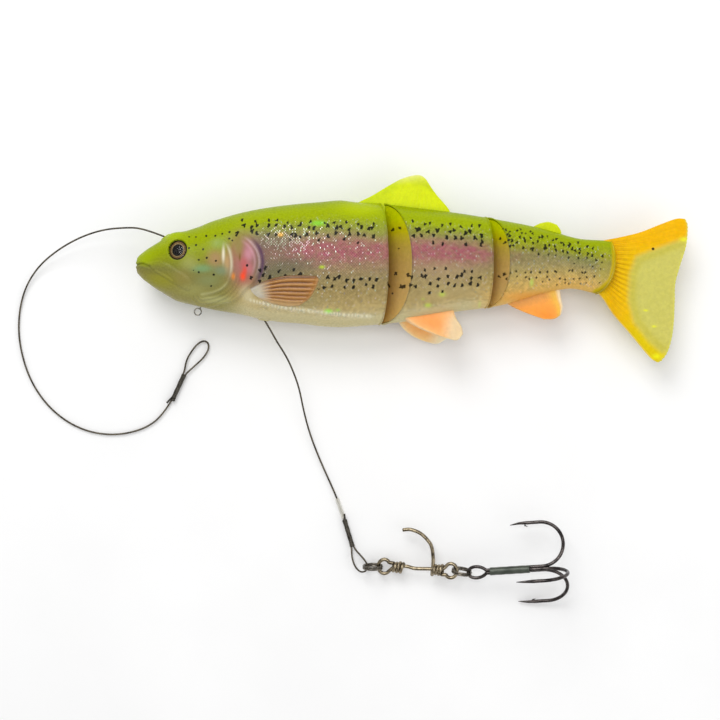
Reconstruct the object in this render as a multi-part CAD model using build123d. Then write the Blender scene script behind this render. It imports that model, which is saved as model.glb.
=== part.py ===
from build123d import *
import math
import os

os.makedirs("parts", exist_ok=True)

# Line-through swimbait with its wire rig, lying on its right flank. Millimetres.
# +X runs to the tail, +Y to the back, +Z up out of the left flank, z = 0 is the surface it lies on.

# ---------------------------------------------------------------- driving dimensions
HALF_WIDTH = 13.9  # widest half of the body, so also the height of the mid-plane
MID = HALF_WIDTH
# The body's stations: x, back edge y, belly edge y, half width
STATIONS = [
    (-100.0, 3.9, -1.4, 2.6),
    (-98.9, 5.4, -3.0, 4.4),
    (-96.2, 7.6, -5.4, 6.0),
    (-91.7, 10.3, -8.2, 7.9),
    (-85.0, 13.0, -11.4, 9.6),
    (-77.0, 15.6, -13.5, 11.1),
    (-69.0, 18.3, -15.2, 12.3),
    (-59.0, 21.0, -17.3, 13.3),
    (-49.0, 22.9, -18.9, 13.8),
    (-38.0, 24.2, -20.3, 13.9),
    (-27.0, 24.9, -21.1, 13.9),
    (-12.0, 24.0, -20.2, 13.5),
    (4.0, 22.2, -18.2, 12.5),
    (17.0, 20.3, -15.6, 11.2),
    (30.0, 18.1, -13.0, 9.6),
    (43.0, 15.6, -10.0, 7.8),
    (55.0, 12.7, -7.6, 6.1),
    (64.0, 10.9, -7.4, 4.9),
    (72.0, 10.2, -7.6, 3.7),
]

FRONT_JOINT_X = -11.8
REAR_JOINT_X = 26.7
TAIL_JOINT_X = 70.3
JOINT_GAP = 0.9  # soft web left between two segments at the mid-plane
NOTCH_ANGLE = 14.0  # how the rear face of a segment leans to the tail
NOSE_ANGLE = 40.0  # how the front face of the next one leans to the tail
WEB_THICKNESS = 1.6
TAIL_GAP = 0.8

# Line tube: an arc through head and belly in the mid-plane
ARC_CENTRE = (-119.8, -60.7)
ARC_RADIUS = 78.4
HEAD_MOUTH = 67.6  # degrees round the arc's centre
BELLY_MOUTH = 33.0
TUBE_OUTER = 1.3
TUBE_INNER = 0.85

# Wire rig
WIRE = 0.35  # radius of the 49-strand trace
LOOP_WIRE = 0.35
CRIMP_RADIUS = 0.85
CRIMP_BITE = 3.0  # how far each wire goes into its crimp
PIN_WIRE = 0.6
RING_OUTER = 3.9
RING_WIRE = 0.7
HOOK_WIRE = 0.65
BEND_RADIUS = 8.1

FLOOR_GAP = 0.05


# ---------------------------------------------------------------- helpers
def body_loft(grow):
    """The whole body, each section grown by the same amount all round."""
    sections = []
    for x, back, belly, half in STATIONS:
        plane = Plane(origin=(x, (back + belly) / 2, MID), x_dir=(0, 1, 0), z_dir=(1, 0, 0))
        sections.append(plane * Ellipse((back - belly) / 2 + grow, half + grow))
    return loft(sections)


def fin_plate(points, thickness, height=MID):
    """A fin with a smooth outline through the given points, centred on a height."""
    outline = Spline(*points, periodic=True)
    return Pos(0, 0, height - thickness / 2) * extrude(make_face(outline), thickness)


def wedge_space(front_x, front_angle, rear_x, rear_angle):
    """The space between two V-shaped faces that both lean to the tail away from the mid-plane."""
    reach = 30.0
    front_run = reach * math.tan(math.radians(front_angle))
    rear_run = reach * math.tan(math.radians(rear_angle))
    outline = [
        (front_x + front_run, -reach),
        (front_x, 0),
        (front_x + front_run, reach),
        (rear_x + rear_run, reach),
        (rear_x, 0),
        (rear_x + rear_run, -reach),
    ]
    plane = Plane(origin=(0, 60, MID), x_dir=(1, 0, 0), z_dir=(0, -1, 0))
    return extrude(plane * make_face(Polyline(*outline, close=True)), 120)


def corner_radii(points):
    """The radius of each corner: 0.45 of its shorter run over the tangent of half the turn."""
    radii = []
    for a, b, c in zip(points, points[1:], points[2:]):
        before = Vector(b) - Vector(a)
        after = Vector(c) - Vector(b)
        half_turn = math.radians(before.get_angle(after)) / 2
        radii.append(0.45 * min(before.length, after.length) / math.tan(half_turn))
    return radii


def wire_along(points, radius, name):
    """A round wire whose straight runs are joined by tangent arcs."""
    radii = corner_radii(points)
    path = FilletPolyline(*points, radius=radii)
    section = Plane(origin=path @ 0, z_dir=path % 0) * Circle(radius)
    wire = sweep(section, path=path)
    straight_volume = math.pi * radius**2 * path.length
    print(name, "length", round(path.length, 1), "volume ratio", round(wire.volume / straight_volume, 4))
    print(name, "corner radii", [round(r, 1) for r in radii])
    return wire


def arc_point(angle):
    """A point on the line tube's arc."""
    turn = math.radians(angle)
    x = ARC_CENTRE[0] + ARC_RADIUS * math.cos(turn)
    y = ARC_CENTRE[1] + ARC_RADIUS * math.sin(turn)
    return (x, y, MID)


def between(a, b, share):
    """The point a share of the way from a to b."""
    return tuple(p + (q - p) * share for p, q in zip(a, b))


def rod(a, b, radius):
    """A cylinder between two points."""
    axis = Vector(b) - Vector(a)
    return extrude(Plane(origin=a, z_dir=axis) * Circle(radius), axis.length)


def save(node, shape):
    shape.label = node
    export_step(shape, f"parts/{node}.step")


# ---------------------------------------------------------------- body segments
whole = body_loft(0)
front_space = wedge_space(-200, 0, FRONT_JOINT_X - JOINT_GAP / 2, NOTCH_ANGLE)
mid_space = wedge_space(
    FRONT_JOINT_X + JOINT_GAP / 2, NOSE_ANGLE, REAR_JOINT_X - JOINT_GAP / 2, NOTCH_ANGLE
)
rear_space = wedge_space(REAR_JOINT_X + JOINT_GAP / 2, NOSE_ANGLE, TAIL_JOINT_X - TAIL_GAP / 2, 0)

front_body = whole & front_space
mid_body = whole & mid_space
rear_body = whole & rear_space

# The dorsal fin starts on the front segment as a low ramp and goes on across the joint
DORSAL_OUTLINE = [
    (-20.5, 23.0), (-14.7, 26.5), (-8.2, 30.6), (-3.1, 33.2), (2.4, 34.2),
    (5.6, 31.4), (8.5, 27.6), (12.9, 22.9), (15.2, 19.0), (4.0, 18.5), (-10.0, 20.5),
]
dorsal_blade = fin_plate(DORSAL_OUTLINE, 2.4)
front_body = front_body + (dorsal_blade & front_space)
dorsal_fin = dorsal_blade & mid_space
mid_body = mid_body - dorsal_fin

# Tail fin, thick at the root and thin at the trailing edge
TAIL_OUTLINE = [
    (69.0, 10.4), (75.3, 11.6), (82.6, 13.4), (89.8, 16.2), (95.6, 18.2), (98.9, 18.5), (99.9, 15.6),
    (99.4, 8.8), (97.1, 1.1), (95.4, -5.4), (95.2, -12.0), (94.6, -22.1), (92.9, -29.4), (88.9, -33.9),
    (85.9, -31.6), (78.9, -23.6), (73.0, -17.2), (69.0, -11.2),
]
TAIL_ROOT = 3.2
TAIL_TIP = 1.4
tail_edge = Spline(*TAIL_OUTLINE) + Line(TAIL_OUTLINE[-1], TAIL_OUTLINE[0])
tail_plate = extrude(Pos(0, 0, MID - TAIL_ROOT / 2) * make_face(tail_edge), TAIL_ROOT)
tail_start = TAIL_JOINT_X + TAIL_GAP / 2
taper = [
    (tail_start, -TAIL_ROOT / 2), (tail_start, TAIL_ROOT / 2), (101.0, TAIL_TIP / 2), (101.0, -TAIL_TIP / 2),
]
taper_plane = Plane(origin=(0, 60, MID), x_dir=(1, 0, 0), z_dir=(0, -1, 0))
tail_fin = tail_plate & extrude(taper_plane * make_face(Polyline(*taper, close=True)), 120)

# Soft webs that bend at the three joints
web_core = body_loft(-1.2)


def joint_web(joint_x, gap, thickness):
    """The strip of soft skin left between two segments."""
    strip = Pos(joint_x, 0, MID) * Box(gap + 2, 60, thickness)
    return strip & web_core


front_joint_web = joint_web(FRONT_JOINT_X, JOINT_GAP, WEB_THICKNESS) - front_space - mid_space
rear_joint_web = joint_web(REAR_JOINT_X, JOINT_GAP, WEB_THICKNESS) - mid_space - rear_space
tail_strip = Pos(TAIL_JOINT_X, 0, MID) * Box(TAIL_GAP, 60, TAIL_ROOT - 0.4)
tail_joint_web = tail_strip & web_core

# Fabric harness in the mid-plane that holds the segments together
HARNESS = 0.6


def harness(x_low, x_high, y_low, y_high):
    """A flat strip of fabric moulded into a segment."""
    return Pos((x_low + x_high) / 2, (y_low + y_high) / 2, MID) * Box(x_high - x_low, y_high - y_low, HARNESS)


front_harness = harness(-44.0, FRONT_JOINT_X, -4.0, 15.0) & front_space
mid_harness = harness(FRONT_JOINT_X, REAR_JOINT_X, -6.0, 12.0) & mid_space
rear_harness = harness(REAR_JOINT_X, TAIL_JOINT_X, -4.0, 7.0) & rear_space
front_body = front_body - front_harness
mid_body = mid_body - mid_harness
rear_body = rear_body - rear_harness

# Ballast low in the belly, behind the line tube
BALLAST_RADIUS = 3.6
BALLAST_Y = -12.0
ballast_bar = rod((-40.0, BALLAST_Y, MID), (-22.0, BALLAST_Y, MID), BALLAST_RADIUS)
ballast_weight = ballast_bar + Pos(-40.0, BALLAST_Y, MID) * Sphere(BALLAST_RADIUS)
ballast_weight = ballast_weight + Pos(-22.0, BALLAST_Y, MID) * Sphere(BALLAST_RADIUS)
front_body = front_body - ballast_weight

# ---------------------------------------------------------------- line tube
MOUTH_EXTRA = 3.5  # degrees past each mouth, trimmed off at the skin
arc_path = ThreePointArc(
    arc_point(HEAD_MOUTH + MOUTH_EXTRA),
    arc_point((HEAD_MOUTH + BELLY_MOUTH) / 2),
    arc_point(BELLY_MOUTH - MOUTH_EXTRA),
)
tube_plane = Plane(origin=arc_path @ 0, z_dir=arc_path % 0)
tube_solid = sweep(tube_plane * Circle(TUBE_OUTER), path=arc_path)
tube_bore = sweep(tube_plane * Circle(TUBE_INNER), path=arc_path)
line_tube = (tube_solid - tube_bore) & whole
front_body = front_body - tube_solid

# ---------------------------------------------------------------- eyes
EYE_X = -85.0
EYE_Y = 6.9
EYE_HEIGHT = 8.1  # above the mid-plane, at the skin
EYE_RADIUS = 3.2
EYE_AXIS = (-0.22, 0.30, 1.0)
FOIL_THICKNESS = 0.5
FOIL_DEPTH = 1.3  # bottom of the foil under the skin
DOME_RISE = 1.8  # top of the dome above the foil
dome_ball = (EYE_RADIUS**2 + DOME_RISE**2) / (2 * DOME_RISE)


def eye_parts(side):
    """The foil disc and the clear dome of one eye; side is +1 for left, -1 for right."""
    seat = Plane(
        origin=(EYE_X, EYE_Y, MID + side * EYE_HEIGHT),
        z_dir=(EYE_AXIS[0], EYE_AXIS[1], side * EYE_AXIS[2]),
    )
    foil_middle = -FOIL_DEPTH + FOIL_THICKNESS / 2
    foil = seat * Pos(0, 0, foil_middle) * Cylinder(EYE_RADIUS, FOIL_THICKNESS)
    foil_top = -FOIL_DEPTH + FOIL_THICKNESS
    ball = Pos(0, 0, foil_top + DOME_RISE - dome_ball) * Sphere(dome_ball)
    above = Pos(0, 0, foil_top + 5) * Cylinder(10, 10)
    dome = seat * (ball & above)
    return foil, dome


left_eye_foil, left_eye_dome = eye_parts(1)
right_eye_foil, right_eye_dome = eye_parts(-1)
for piece in (left_eye_foil, left_eye_dome, right_eye_foil, right_eye_dome):
    front_body = front_body - piece

# ---------------------------------------------------------------- throat eye
THROAT_RING = (-78.0, -15.5)
THROAT_OUTER = 1.5
THROAT_BORE = 1.0
THROAT_THICKNESS = 0.6
STEM_RADIUS = 0.25
ring_blank = Pos(THROAT_RING[0], THROAT_RING[1], MID) * Cylinder(THROAT_OUTER, THROAT_THICKNESS)
stem = rod((-77.3, -14.4, MID), (-73.5, -8.0, MID), STEM_RADIUS)
throat_bore = Pos(THROAT_RING[0], THROAT_RING[1], MID) * Cylinder(THROAT_BORE, THROAT_THICKNESS)
throat_eye = (ring_blank + stem) - throat_bore
front_body = front_body - throat_eye

# ---------------------------------------------------------------- fins
PECTORAL_OUTLINE = [
    (-58.0, -7.4), (-51.9, -4.6), (-44.5, -3.1), (-34.8, -3.0), (-33.6, -4.4),
    (-34.9, -7.6), (-37.1, -10.9), (-41.6, -14.0), (-48.2, -13.4), (-54.6, -11.2),
]
PECTORAL_RISE = 0.9
fin_shell = body_loft(PECTORAL_RISE) - body_loft(0)
# The right fin is pressed flat where the fish lies on it
left_pectoral_fin = fin_shell & fin_plate(PECTORAL_OUTLINE, 30, MID + 15)
right_pectoral_fin = fin_shell & fin_plate(PECTORAL_OUTLINE, MID, MID / 2)

PELVIC_OUTLINE = [
    (-4.3, -17.6), (0.1, -20.0), (5.4, -23.3), (10.6, -25.2), (16.2, -25.6),
    (17.9, -23.6), (16.4, -18.9), (14.6, -15.8), (8.0, -14.4), (0.1, -15.4),
]
PELVIC_THICKNESS = 1.2
PELVIC_OFFSET = 3.4  # of each fin's root from the mid-plane
PELVIC_SPLAY = 24.0
PELVIC_ROOT_Y = -16.0


def pelvic_fin(side):
    """One pelvic fin, splayed away from the mid-plane."""
    flat = fin_plate(PELVIC_OUTLINE, PELVIC_THICKNESS, 0)
    turned = Rot(-side * PELVIC_SPLAY, 0, 0) * (Pos(0, -PELVIC_ROOT_Y, 0) * flat)
    return Pos(0, PELVIC_ROOT_Y, MID + side * PELVIC_OFFSET) * turned


left_pelvic_fin = pelvic_fin(1)
right_pelvic_fin = pelvic_fin(-1)
mid_body = mid_body - left_pelvic_fin - right_pelvic_fin

ANAL_OUTLINE = [
    (33.3, -12.0), (39.2, -15.0), (45.4, -17.5), (48.7, -18.2), (51.7, -17.9),
    (53.8, -16.6), (54.4, -15.0), (53.9, -12.0), (53.0, -6.0), (42.0, -7.0),
]
ADIPOSE_OUTLINE = [
    (43.0, 15.4), (46.3, 16.8), (50.6, 17.1), (52.8, 15.8), (53.6, 12.6), (48.0, 12.4),
]
anal_fin = fin_plate(ANAL_OUTLINE, 1.6)
adipose_fin = fin_plate(ADIPOSE_OUTLINE, 1.6)
rear_body = rear_body - anal_fin - adipose_fin

# ---------------------------------------------------------------- trace wire and crimps
FRONT_CRIMP = ((-88.8, -48.1, 0.9), (-84.3, -38.3, 0.9))
BELLY_CRIMP = ((-24.9, -92.2, 0.9), (-21.9, -102.2, 0.9))
# The free route from the head's mouth round to the front crimp, then from the belly's mouth to its own
FRONT_ROUTE = [
    (-103.7, 15.2, 13.0), (-112.8, 14.7, 10.8), (-122.1, 12.0, 7.6), (-130.9, 7.5, 4.4),
    (-138.6, 1.4, 2.0), (-143.9, -7.1, 0.8), (-146.1, -17.8, 0.4), (-145.4, -28.9, 0.42),
    (-141.3, -41.6, 0.4), (-133.3, -52.3, 0.42), (-122.4, -59.2, 0.4), (-110.3, -61.2, 0.42),
    (-98.8, -58.6, 0.45), (-91.8, -53.0, 0.6),
]
BELLY_ROUTE = [
    (-46.3, -31.0, 13.0), (-43.8, -36.3, 11.0), (-41.4, -43.3, 7.8), (-39.9, -51.8, 4.4),
    (-37.7, -60.4, 2.0), (-34.3, -69.4, 0.8), (-30.4, -78.1, 0.5), (-27.2, -85.3, 0.6),
]
# Inside the tube both halves of the wire follow its arc from the middle out past the mouths
ARC_MIDDLE = 50.3
ARC_STEP = 5.4
front_angles = [ARC_MIDDLE + ARC_STEP * (i + 0.5) for i in range(5)]
belly_angles = [ARC_MIDDLE - ARC_STEP * (i + 0.5) for i in range(5)]
wire_middle = between(arc_point(front_angles[0]), arc_point(belly_angles[0]), 0.5)
front_end = between(*FRONT_CRIMP, CRIMP_BITE / math.dist(*FRONT_CRIMP))
belly_end = between(*BELLY_CRIMP, CRIMP_BITE / math.dist(*BELLY_CRIMP))
front_points = [wire_middle, *map(arc_point, front_angles), *FRONT_ROUTE, front_end]
belly_points = [wire_middle, *map(arc_point, belly_angles), *BELLY_ROUTE, belly_end]
trace_front = wire_along(front_points, WIRE, "trace_front")
trace_belly = wire_along(belly_points, WIRE, "trace_belly")

# The end loops: each leaves its crimp, runs round and comes back into it
FRONT_LOOP = [
    (-84.0, -36.6, 0.9), (-83.2, -33.2, 0.8), (-81.9, -30.1, 0.7), (-79.7, -27.2, 0.7), (-77.2, -25.7, 0.7),
    (-75.3, -26.6, 0.7), (-75.3, -29.2, 0.7), (-77.2, -32.2, 0.7), (-80.0, -34.8, 0.8), (-82.7, -37.2, 0.9),
]
BELLY_LOOP = [
    (-20.6, -103.6, 1.3), (-18.8, -105.4, 2.6), (-17.0, -107.4, 3.4), (-16.2, -109.4, 3.7), (-17.0, -111.2, 3.7),
    (-19.1, -111.4, 3.6), (-21.0, -109.4, 3.0), (-22.0, -106.6, 2.0), (-22.2, -104.0, 1.2),
]
LOOP_SPREAD = 0.38  # of the two wires from the crimp's axis


def end_loop(points, crimp, name):
    """A wire loop whose two ends lie side by side in the crimp."""
    inner = between(crimp[1], crimp[0], CRIMP_BITE / math.dist(*crimp))
    axis = (Vector(crimp[1]) - Vector(crimp[0])).normalized()
    aside = axis.cross(Vector(0, 0, 1)) * LOOP_SPREAD
    first = Vector(inner) - aside
    last = Vector(inner) + aside
    path_points = [tuple(first), tuple(Vector(crimp[1]) - aside), *points, tuple(Vector(crimp[1]) + aside), tuple(last)]
    return wire_along(path_points, LOOP_WIRE, name)


front_loop = end_loop(FRONT_LOOP, FRONT_CRIMP, "front_loop")
belly_loop = end_loop(BELLY_LOOP, BELLY_CRIMP, "belly_loop")
front_crimp = rod(*FRONT_CRIMP, CRIMP_RADIUS) - trace_front - front_loop
belly_crimp = rod(*BELLY_CRIMP, CRIMP_RADIUS) - trace_belly - belly_loop

# Clear sleeve shrunk over the trace, just above the belly crimp
SLEEVE_RADIUS = 0.6
clear_sleeve = rod((-28.8, -81.7, 0.62), (-25.6, -89.8, 0.72), SLEEVE_RADIUS) - trace_belly


# ---------------------------------------------------------------- split rings, pin and treble
def split_ring(centre, lean):
    """A split ring of two coils, standing on edge; lean turns it about the vertical."""
    coils = []
    for side in (-1, 1):
        coil = Cylinder(RING_OUTER, RING_WIRE) - Cylinder(RING_OUTER - RING_WIRE, RING_WIRE)
        coils.append(Pos(0, 0, side * RING_WIRE / 2) * coil)
    ring = coils[0] + coils[1]
    return Pos(*centre) * Rot(0, 0, lean) * Rot(90, 0, 0) * ring


LEADER_RING = (-14.35, -109.4, RING_OUTER + FLOOR_GAP)
HOOK_RING = (18.3, -110.7, 7.1)
leader_ring = split_ring(LEADER_RING, 0)
hook_ring = split_ring(HOOK_RING, -8)

PIN_LEFT = (-10.1, -109.3, 3.4)
PIN_LENGTH = 24.6  # between the centres of its two eyes
PIN_RISE = 7.2  # degrees
PIN_TURN = -2.8
EYE_HALF_LENGTH = 2.1
EYE_HALF_WIDTH = 2.5
WRAP_MAJOR = 1.8
LEFT_WRAP = (2.6, 6.4)
RIGHT_WRAP = (17.2, 21.2)
SPIKE_ROUTE = [(18.0, 2.4), (17.8, 5.6), (16.8, 8.8), (14.6, 11.4), (11.6, 12.9), (9.2, 13.2), (6.6, 13.0)]


def pin_eye(x):
    """A closed oval eye bent from the pin's wire."""
    path = Plane.XY * Ellipse(EYE_HALF_LENGTH, EYE_HALF_WIDTH).edge()
    start = Plane(origin=path @ 0, z_dir=path % 0)
    return Pos(x, 0, 0) * sweep(start * Circle(PIN_WIRE), path=path)


def wrap(span):
    """Turns of wire round the pin, side by side."""
    turns = []
    count = 3
    for i in range(count):
        x = span[0] + (span[1] - span[0]) * (i + 0.5) / count
        turns.append(Pos(x, 0, 0) * Rot(0, 90, 0) * Torus(WRAP_MAJOR, PIN_WIRE + 0.05))
    return turns


pin_flat = rod((2.0, 0, 0), (22.6, 0, 0), 1.3) & Box(60, 4, 1.8)
spike_points = [(x, y, 0) for x, y in SPIKE_ROUTE]
spike = wire_along(spike_points, PIN_WIRE + 0.1, "pin spike")
for piece in (pin_eye(0), pin_eye(PIN_LENGTH), *wrap(LEFT_WRAP), *wrap(RIGHT_WRAP), spike):
    pin_flat = pin_flat + piece
belly_pin = Pos(*PIN_LEFT) * Rot(0, 0, PIN_TURN) * Rot(0, -PIN_RISE, 0) * pin_flat

# Treble, drawn with its shank along +X from the eye and the first prong towards +Y
TREBLE_EYE = (19.9, -111.1, 7.65)
TREBLE_TURN = 5.0
TREBLE_RISE = 14.0
TREBLE_ROLL = (-14.6, -134.6, 105.4)
SHANK_START = 8.0
PRONG_OFFSET = 0.55  # of each prong's wire from the shank's axis
BEND_START = 28.0
POINT_BACK = 11.0  # from the bend's top back to the point
SHANK_RADIUS = 1.35
CONE_LENGTH = 4.4
TIP_RADIUS = 0.1


def prong(roll):
    """One prong: along the shank, round the bend and back to the point."""
    start = Vector(SHANK_START, PRONG_OFFSET, 0)
    bend_in = Vector(BEND_START, PRONG_OFFSET, 0)
    bend_top = Vector(BEND_START + BEND_RADIUS, PRONG_OFFSET + BEND_RADIUS, 0)
    bend_out = Vector(BEND_START, PRONG_OFFSET + 2 * BEND_RADIUS, 0)
    cone_start = bend_out - Vector(POINT_BACK - CONE_LENGTH, 0, 0)
    path = Line(start, bend_in) + ThreePointArc(bend_in, bend_top, bend_out) + Line(bend_out, cone_start)
    bar = sweep(Plane(origin=start, z_dir=(1, 0, 0)) * Circle(HOOK_WIRE), path=path)
    cone = Plane(origin=cone_start, z_dir=(-1, 0, 0)) * Pos(0, 0, CONE_LENGTH / 2)
    point = cone * Cone(HOOK_WIRE, TIP_RADIUS, CONE_LENGTH)
    return Rot(roll, 0, 0) * (bar + point)


eye_bar = rod((5.0, 0, 0), (BEND_START - 3.0, 0, 0), SHANK_RADIUS)
eye_path = Plane.XY * Ellipse(3.4, 2.3).edge()
eye_loop = sweep(Plane(origin=eye_path @ 0, z_dir=eye_path % 0) * Circle(HOOK_WIRE), path=eye_path)
treble = eye_bar + Pos(3.4, 0, 0) * eye_loop
for roll in TREBLE_ROLL:
    treble = treble + prong(roll)
treble_hook = Pos(*TREBLE_EYE) * Rot(0, 0, TREBLE_TURN) * Rot(0, -TREBLE_RISE, 0) * treble

# ---------------------------------------------------------------- write the nodes
nodes = {
    "front_body": front_body, "mid_body": mid_body, "rear_body": rear_body, "tail_fin": tail_fin,
    "front_joint_web": front_joint_web, "rear_joint_web": rear_joint_web, "tail_joint_web": tail_joint_web,
    "front_harness": front_harness, "mid_harness": mid_harness, "rear_harness": rear_harness,
    "ballast_weight": ballast_weight, "line_tube": line_tube, "throat_eye": throat_eye,
    "left_eye_foil": left_eye_foil, "left_eye_dome": left_eye_dome,
    "right_eye_foil": right_eye_foil, "right_eye_dome": right_eye_dome,
    "dorsal_fin": dorsal_fin, "adipose_fin": adipose_fin, "anal_fin": anal_fin,
    "left_pectoral_fin": left_pectoral_fin, "right_pectoral_fin": right_pectoral_fin,
    "left_pelvic_fin": left_pelvic_fin, "right_pelvic_fin": right_pelvic_fin,
    "trace_front": trace_front, "trace_belly": trace_belly, "front_crimp": front_crimp, "front_loop": front_loop,
    "belly_crimp": belly_crimp, "belly_loop": belly_loop, "clear_sleeve": clear_sleeve,
    "leader_ring": leader_ring, "belly_pin": belly_pin, "hook_ring": hook_ring, "treble_hook": treble_hook,
}
for node, shape in nodes.items():
    save(node, shape)
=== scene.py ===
import math
import bpy
import mathutils
import numpy as np
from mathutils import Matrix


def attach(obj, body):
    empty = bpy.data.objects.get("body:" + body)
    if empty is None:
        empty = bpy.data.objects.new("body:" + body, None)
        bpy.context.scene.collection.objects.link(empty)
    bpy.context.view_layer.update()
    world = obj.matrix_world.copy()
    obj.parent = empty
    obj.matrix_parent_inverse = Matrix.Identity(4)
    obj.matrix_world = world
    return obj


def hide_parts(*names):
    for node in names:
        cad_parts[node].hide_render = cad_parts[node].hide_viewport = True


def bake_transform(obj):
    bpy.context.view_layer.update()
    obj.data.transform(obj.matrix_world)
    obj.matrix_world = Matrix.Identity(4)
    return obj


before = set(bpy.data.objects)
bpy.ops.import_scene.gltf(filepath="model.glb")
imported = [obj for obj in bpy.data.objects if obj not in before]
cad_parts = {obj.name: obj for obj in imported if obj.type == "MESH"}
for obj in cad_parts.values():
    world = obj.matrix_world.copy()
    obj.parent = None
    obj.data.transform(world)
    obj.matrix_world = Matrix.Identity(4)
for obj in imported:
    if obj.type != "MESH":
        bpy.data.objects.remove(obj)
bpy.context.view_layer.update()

# Lengths are millimetres in the model's frame: +X to the tail, +Y to the back, +Z up out of the left flank.
# The meshes are written in metres.
MM = 0.001
MID = 13.9  # height of the fish's mid-plane over the surface it lies on
TAU = 2 * math.pi


# ---------------------------------------------------------------- small helpers
def srgb(red, green, blue):
    """A colour given as 0 to 255 display values, in linear light."""
    out = []
    for value in (red, green, blue):
        share = value / 255
        out.append(share / 12.92 if share <= 0.04045 else ((share + 0.055) / 1.055) ** 2.4)
    return tuple(out)


def smooth(value, low, high):
    """A smooth step from 0 at low to 1 at high."""
    share = np.clip((value - low) / (high - low), 0, 1)
    return share * share * (3 - 2 * share)


def falling(value, full, none):
    """A smooth step from 1 at full down to 0 at none."""
    return smooth(-value, -none, -full)


def hill(value, centre, width):
    """A bell curve."""
    return np.exp(-(((value - centre) / width) ** 2))


def spline_1d(points):
    """A smooth function through (x, y) points, with no overshoot between them."""
    xs, ys = np.array(points, float).T
    slopes = np.diff(ys) / np.diff(xs)
    tangents = np.concatenate([[slopes[0]], (slopes[:-1] + slopes[1:]) / 2, [slopes[-1]]])
    same_way = slopes[:-1] * slopes[1:] > 0
    tangents[1:-1] = np.where(same_way, tangents[1:-1], 0)
    limit = 3 * np.minimum(np.abs(slopes[:-1]), np.abs(slopes[1:]))
    tangents[1:-1] = np.clip(tangents[1:-1], -limit, limit)

    def value(x):
        x = np.clip(x, xs[0], xs[-1])
        i = np.clip(np.searchsorted(xs, x, side="right") - 1, 0, len(slopes) - 1)
        step = xs[i + 1] - xs[i]
        t = (x - xs[i]) / step
        return (
            (1 + 2 * t) * (1 - t) ** 2 * ys[i]
            + t * (1 - t) ** 2 * step * tangents[i]
            + t * t * (3 - 2 * t) * ys[i + 1]
            + t * t * (t - 1) * step * tangents[i + 1]
        )

    return value


def curve_through(points, count, closed=False):
    """Evenly spaced points on a smooth curve through the given ones."""
    points = np.array(points, float)
    if closed:
        before, after = points[-1:], points[:2]
        points = np.concatenate([before, points, after])
    else:
        first = 2 * points[0] - points[1]
        last = 2 * points[-1] - points[-2]
        points = np.concatenate([[first], points, [last]])
    dense = []
    t = np.linspace(0, 1, 24, endpoint=False)[:, None]
    for a, b, c, d in zip(points, points[1:], points[2:], points[3:]):
        square, cube = 2 * a - 5 * b + 4 * c - d, 3 * b - a - 3 * c + d
        dense.append(0.5 * (2 * b + (c - a) * t + square * t**2 + cube * t**3))
    dense = np.concatenate(dense + [points[-2][None]])
    return resample(dense, count)


def lengths_along(points):
    """Length of a line up to each of its points."""
    steps = np.linalg.norm(np.diff(points, axis=0), axis=1)
    return np.concatenate([[0], np.cumsum(steps)])


def resample(points, count):
    """The same line with evenly spaced points."""
    along = lengths_along(points)
    wanted = np.linspace(0, along[-1], count)
    return np.stack([np.interp(wanted, along, column) for column in points.T], axis=1)


def line_distance(x, y, points):
    """Distance to a line of points, the side it lies on and how far along the nearest point is."""
    best = np.full(x.shape, 1e9)
    side = np.zeros(x.shape)
    along = np.zeros(x.shape)
    count = len(points) - 1
    for i in range(count):
        ax, ay = points[i]
        dx, dy = points[i + 1] - points[i]
        t = np.clip(((x - ax) * dx + (y - ay) * dy) / (dx * dx + dy * dy), 0, 1)
        gap_x = x - ax - t * dx
        gap_y = y - ay - t * dy
        gap = np.hypot(gap_x, gap_y)
        closer = gap < best
        best = np.where(closer, gap, best)
        side = np.where(closer, np.sign(dx * gap_y - dy * gap_x), side)
        along = np.where(closer, (i + t) / count, along)
    return best, side, along


def inside_distance(x, y, outline):
    """Signed distance to a closed outline, negative inside."""
    outline = np.array(outline, float)
    closed = np.concatenate([outline, outline[:1]])
    gap, _, _ = line_distance(x, y, closed)
    inside = np.zeros(x.shape, bool)
    for (ax, ay), (bx, by) in zip(closed, closed[1:]):
        crosses = (ay > y) != (by > y)
        at = ax + (y - ay) * (bx - ax) / (by - ay if by != ay else 1)
        inside ^= crosses & (x < at)
    return np.where(inside, -gap, gap)


def unit(vectors):
    """Vectors scaled to length 1."""
    return vectors / np.maximum(np.linalg.norm(vectors, axis=-1, keepdims=True), 1e-9)


# ---------------------------------------------------------------- meshes
def add_mesh(name, verts_mm, faces, material, values=None):
    """A mesh object from points in millimetres, with named values on its points."""
    mesh = bpy.data.meshes.new(name)
    verts = [tuple(vert) for vert in np.asarray(verts_mm) * MM]
    mesh.from_pydata(verts, [], [tuple(face) for face in faces])
    mesh.validate()
    mesh.update()
    for key, data in (values or {}).items():
        data = np.asarray(data, float)
        kind = "FLOAT" if data.ndim == 1 else "FLOAT_COLOR"
        field = "value" if data.ndim == 1 else "color"
        layer = mesh.attributes.new(key, kind, "POINT")
        layer.data.foreach_set(field, data.ravel())
    mesh.polygons.foreach_set("use_smooth", [True] * len(mesh.polygons))
    mesh.materials.append(material)
    piece = bpy.data.objects.new(name, mesh)
    bpy.context.scene.collection.objects.link(piece)
    return piece


def grid_faces(rows, columns, wrap, start=0):
    """Quads of a grid of points, closed round its columns or not."""
    across = columns if wrap else columns - 1
    i, j = np.meshgrid(np.arange(rows - 1), np.arange(across), indexing="ij")
    k = (j + 1) % columns
    here, ahead = i * columns, (i + 1) * columns
    quads = np.stack([here + j, here + k, ahead + k, ahead + j], axis=-1)
    return (quads.reshape(-1, 4) + start).tolist()


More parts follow.
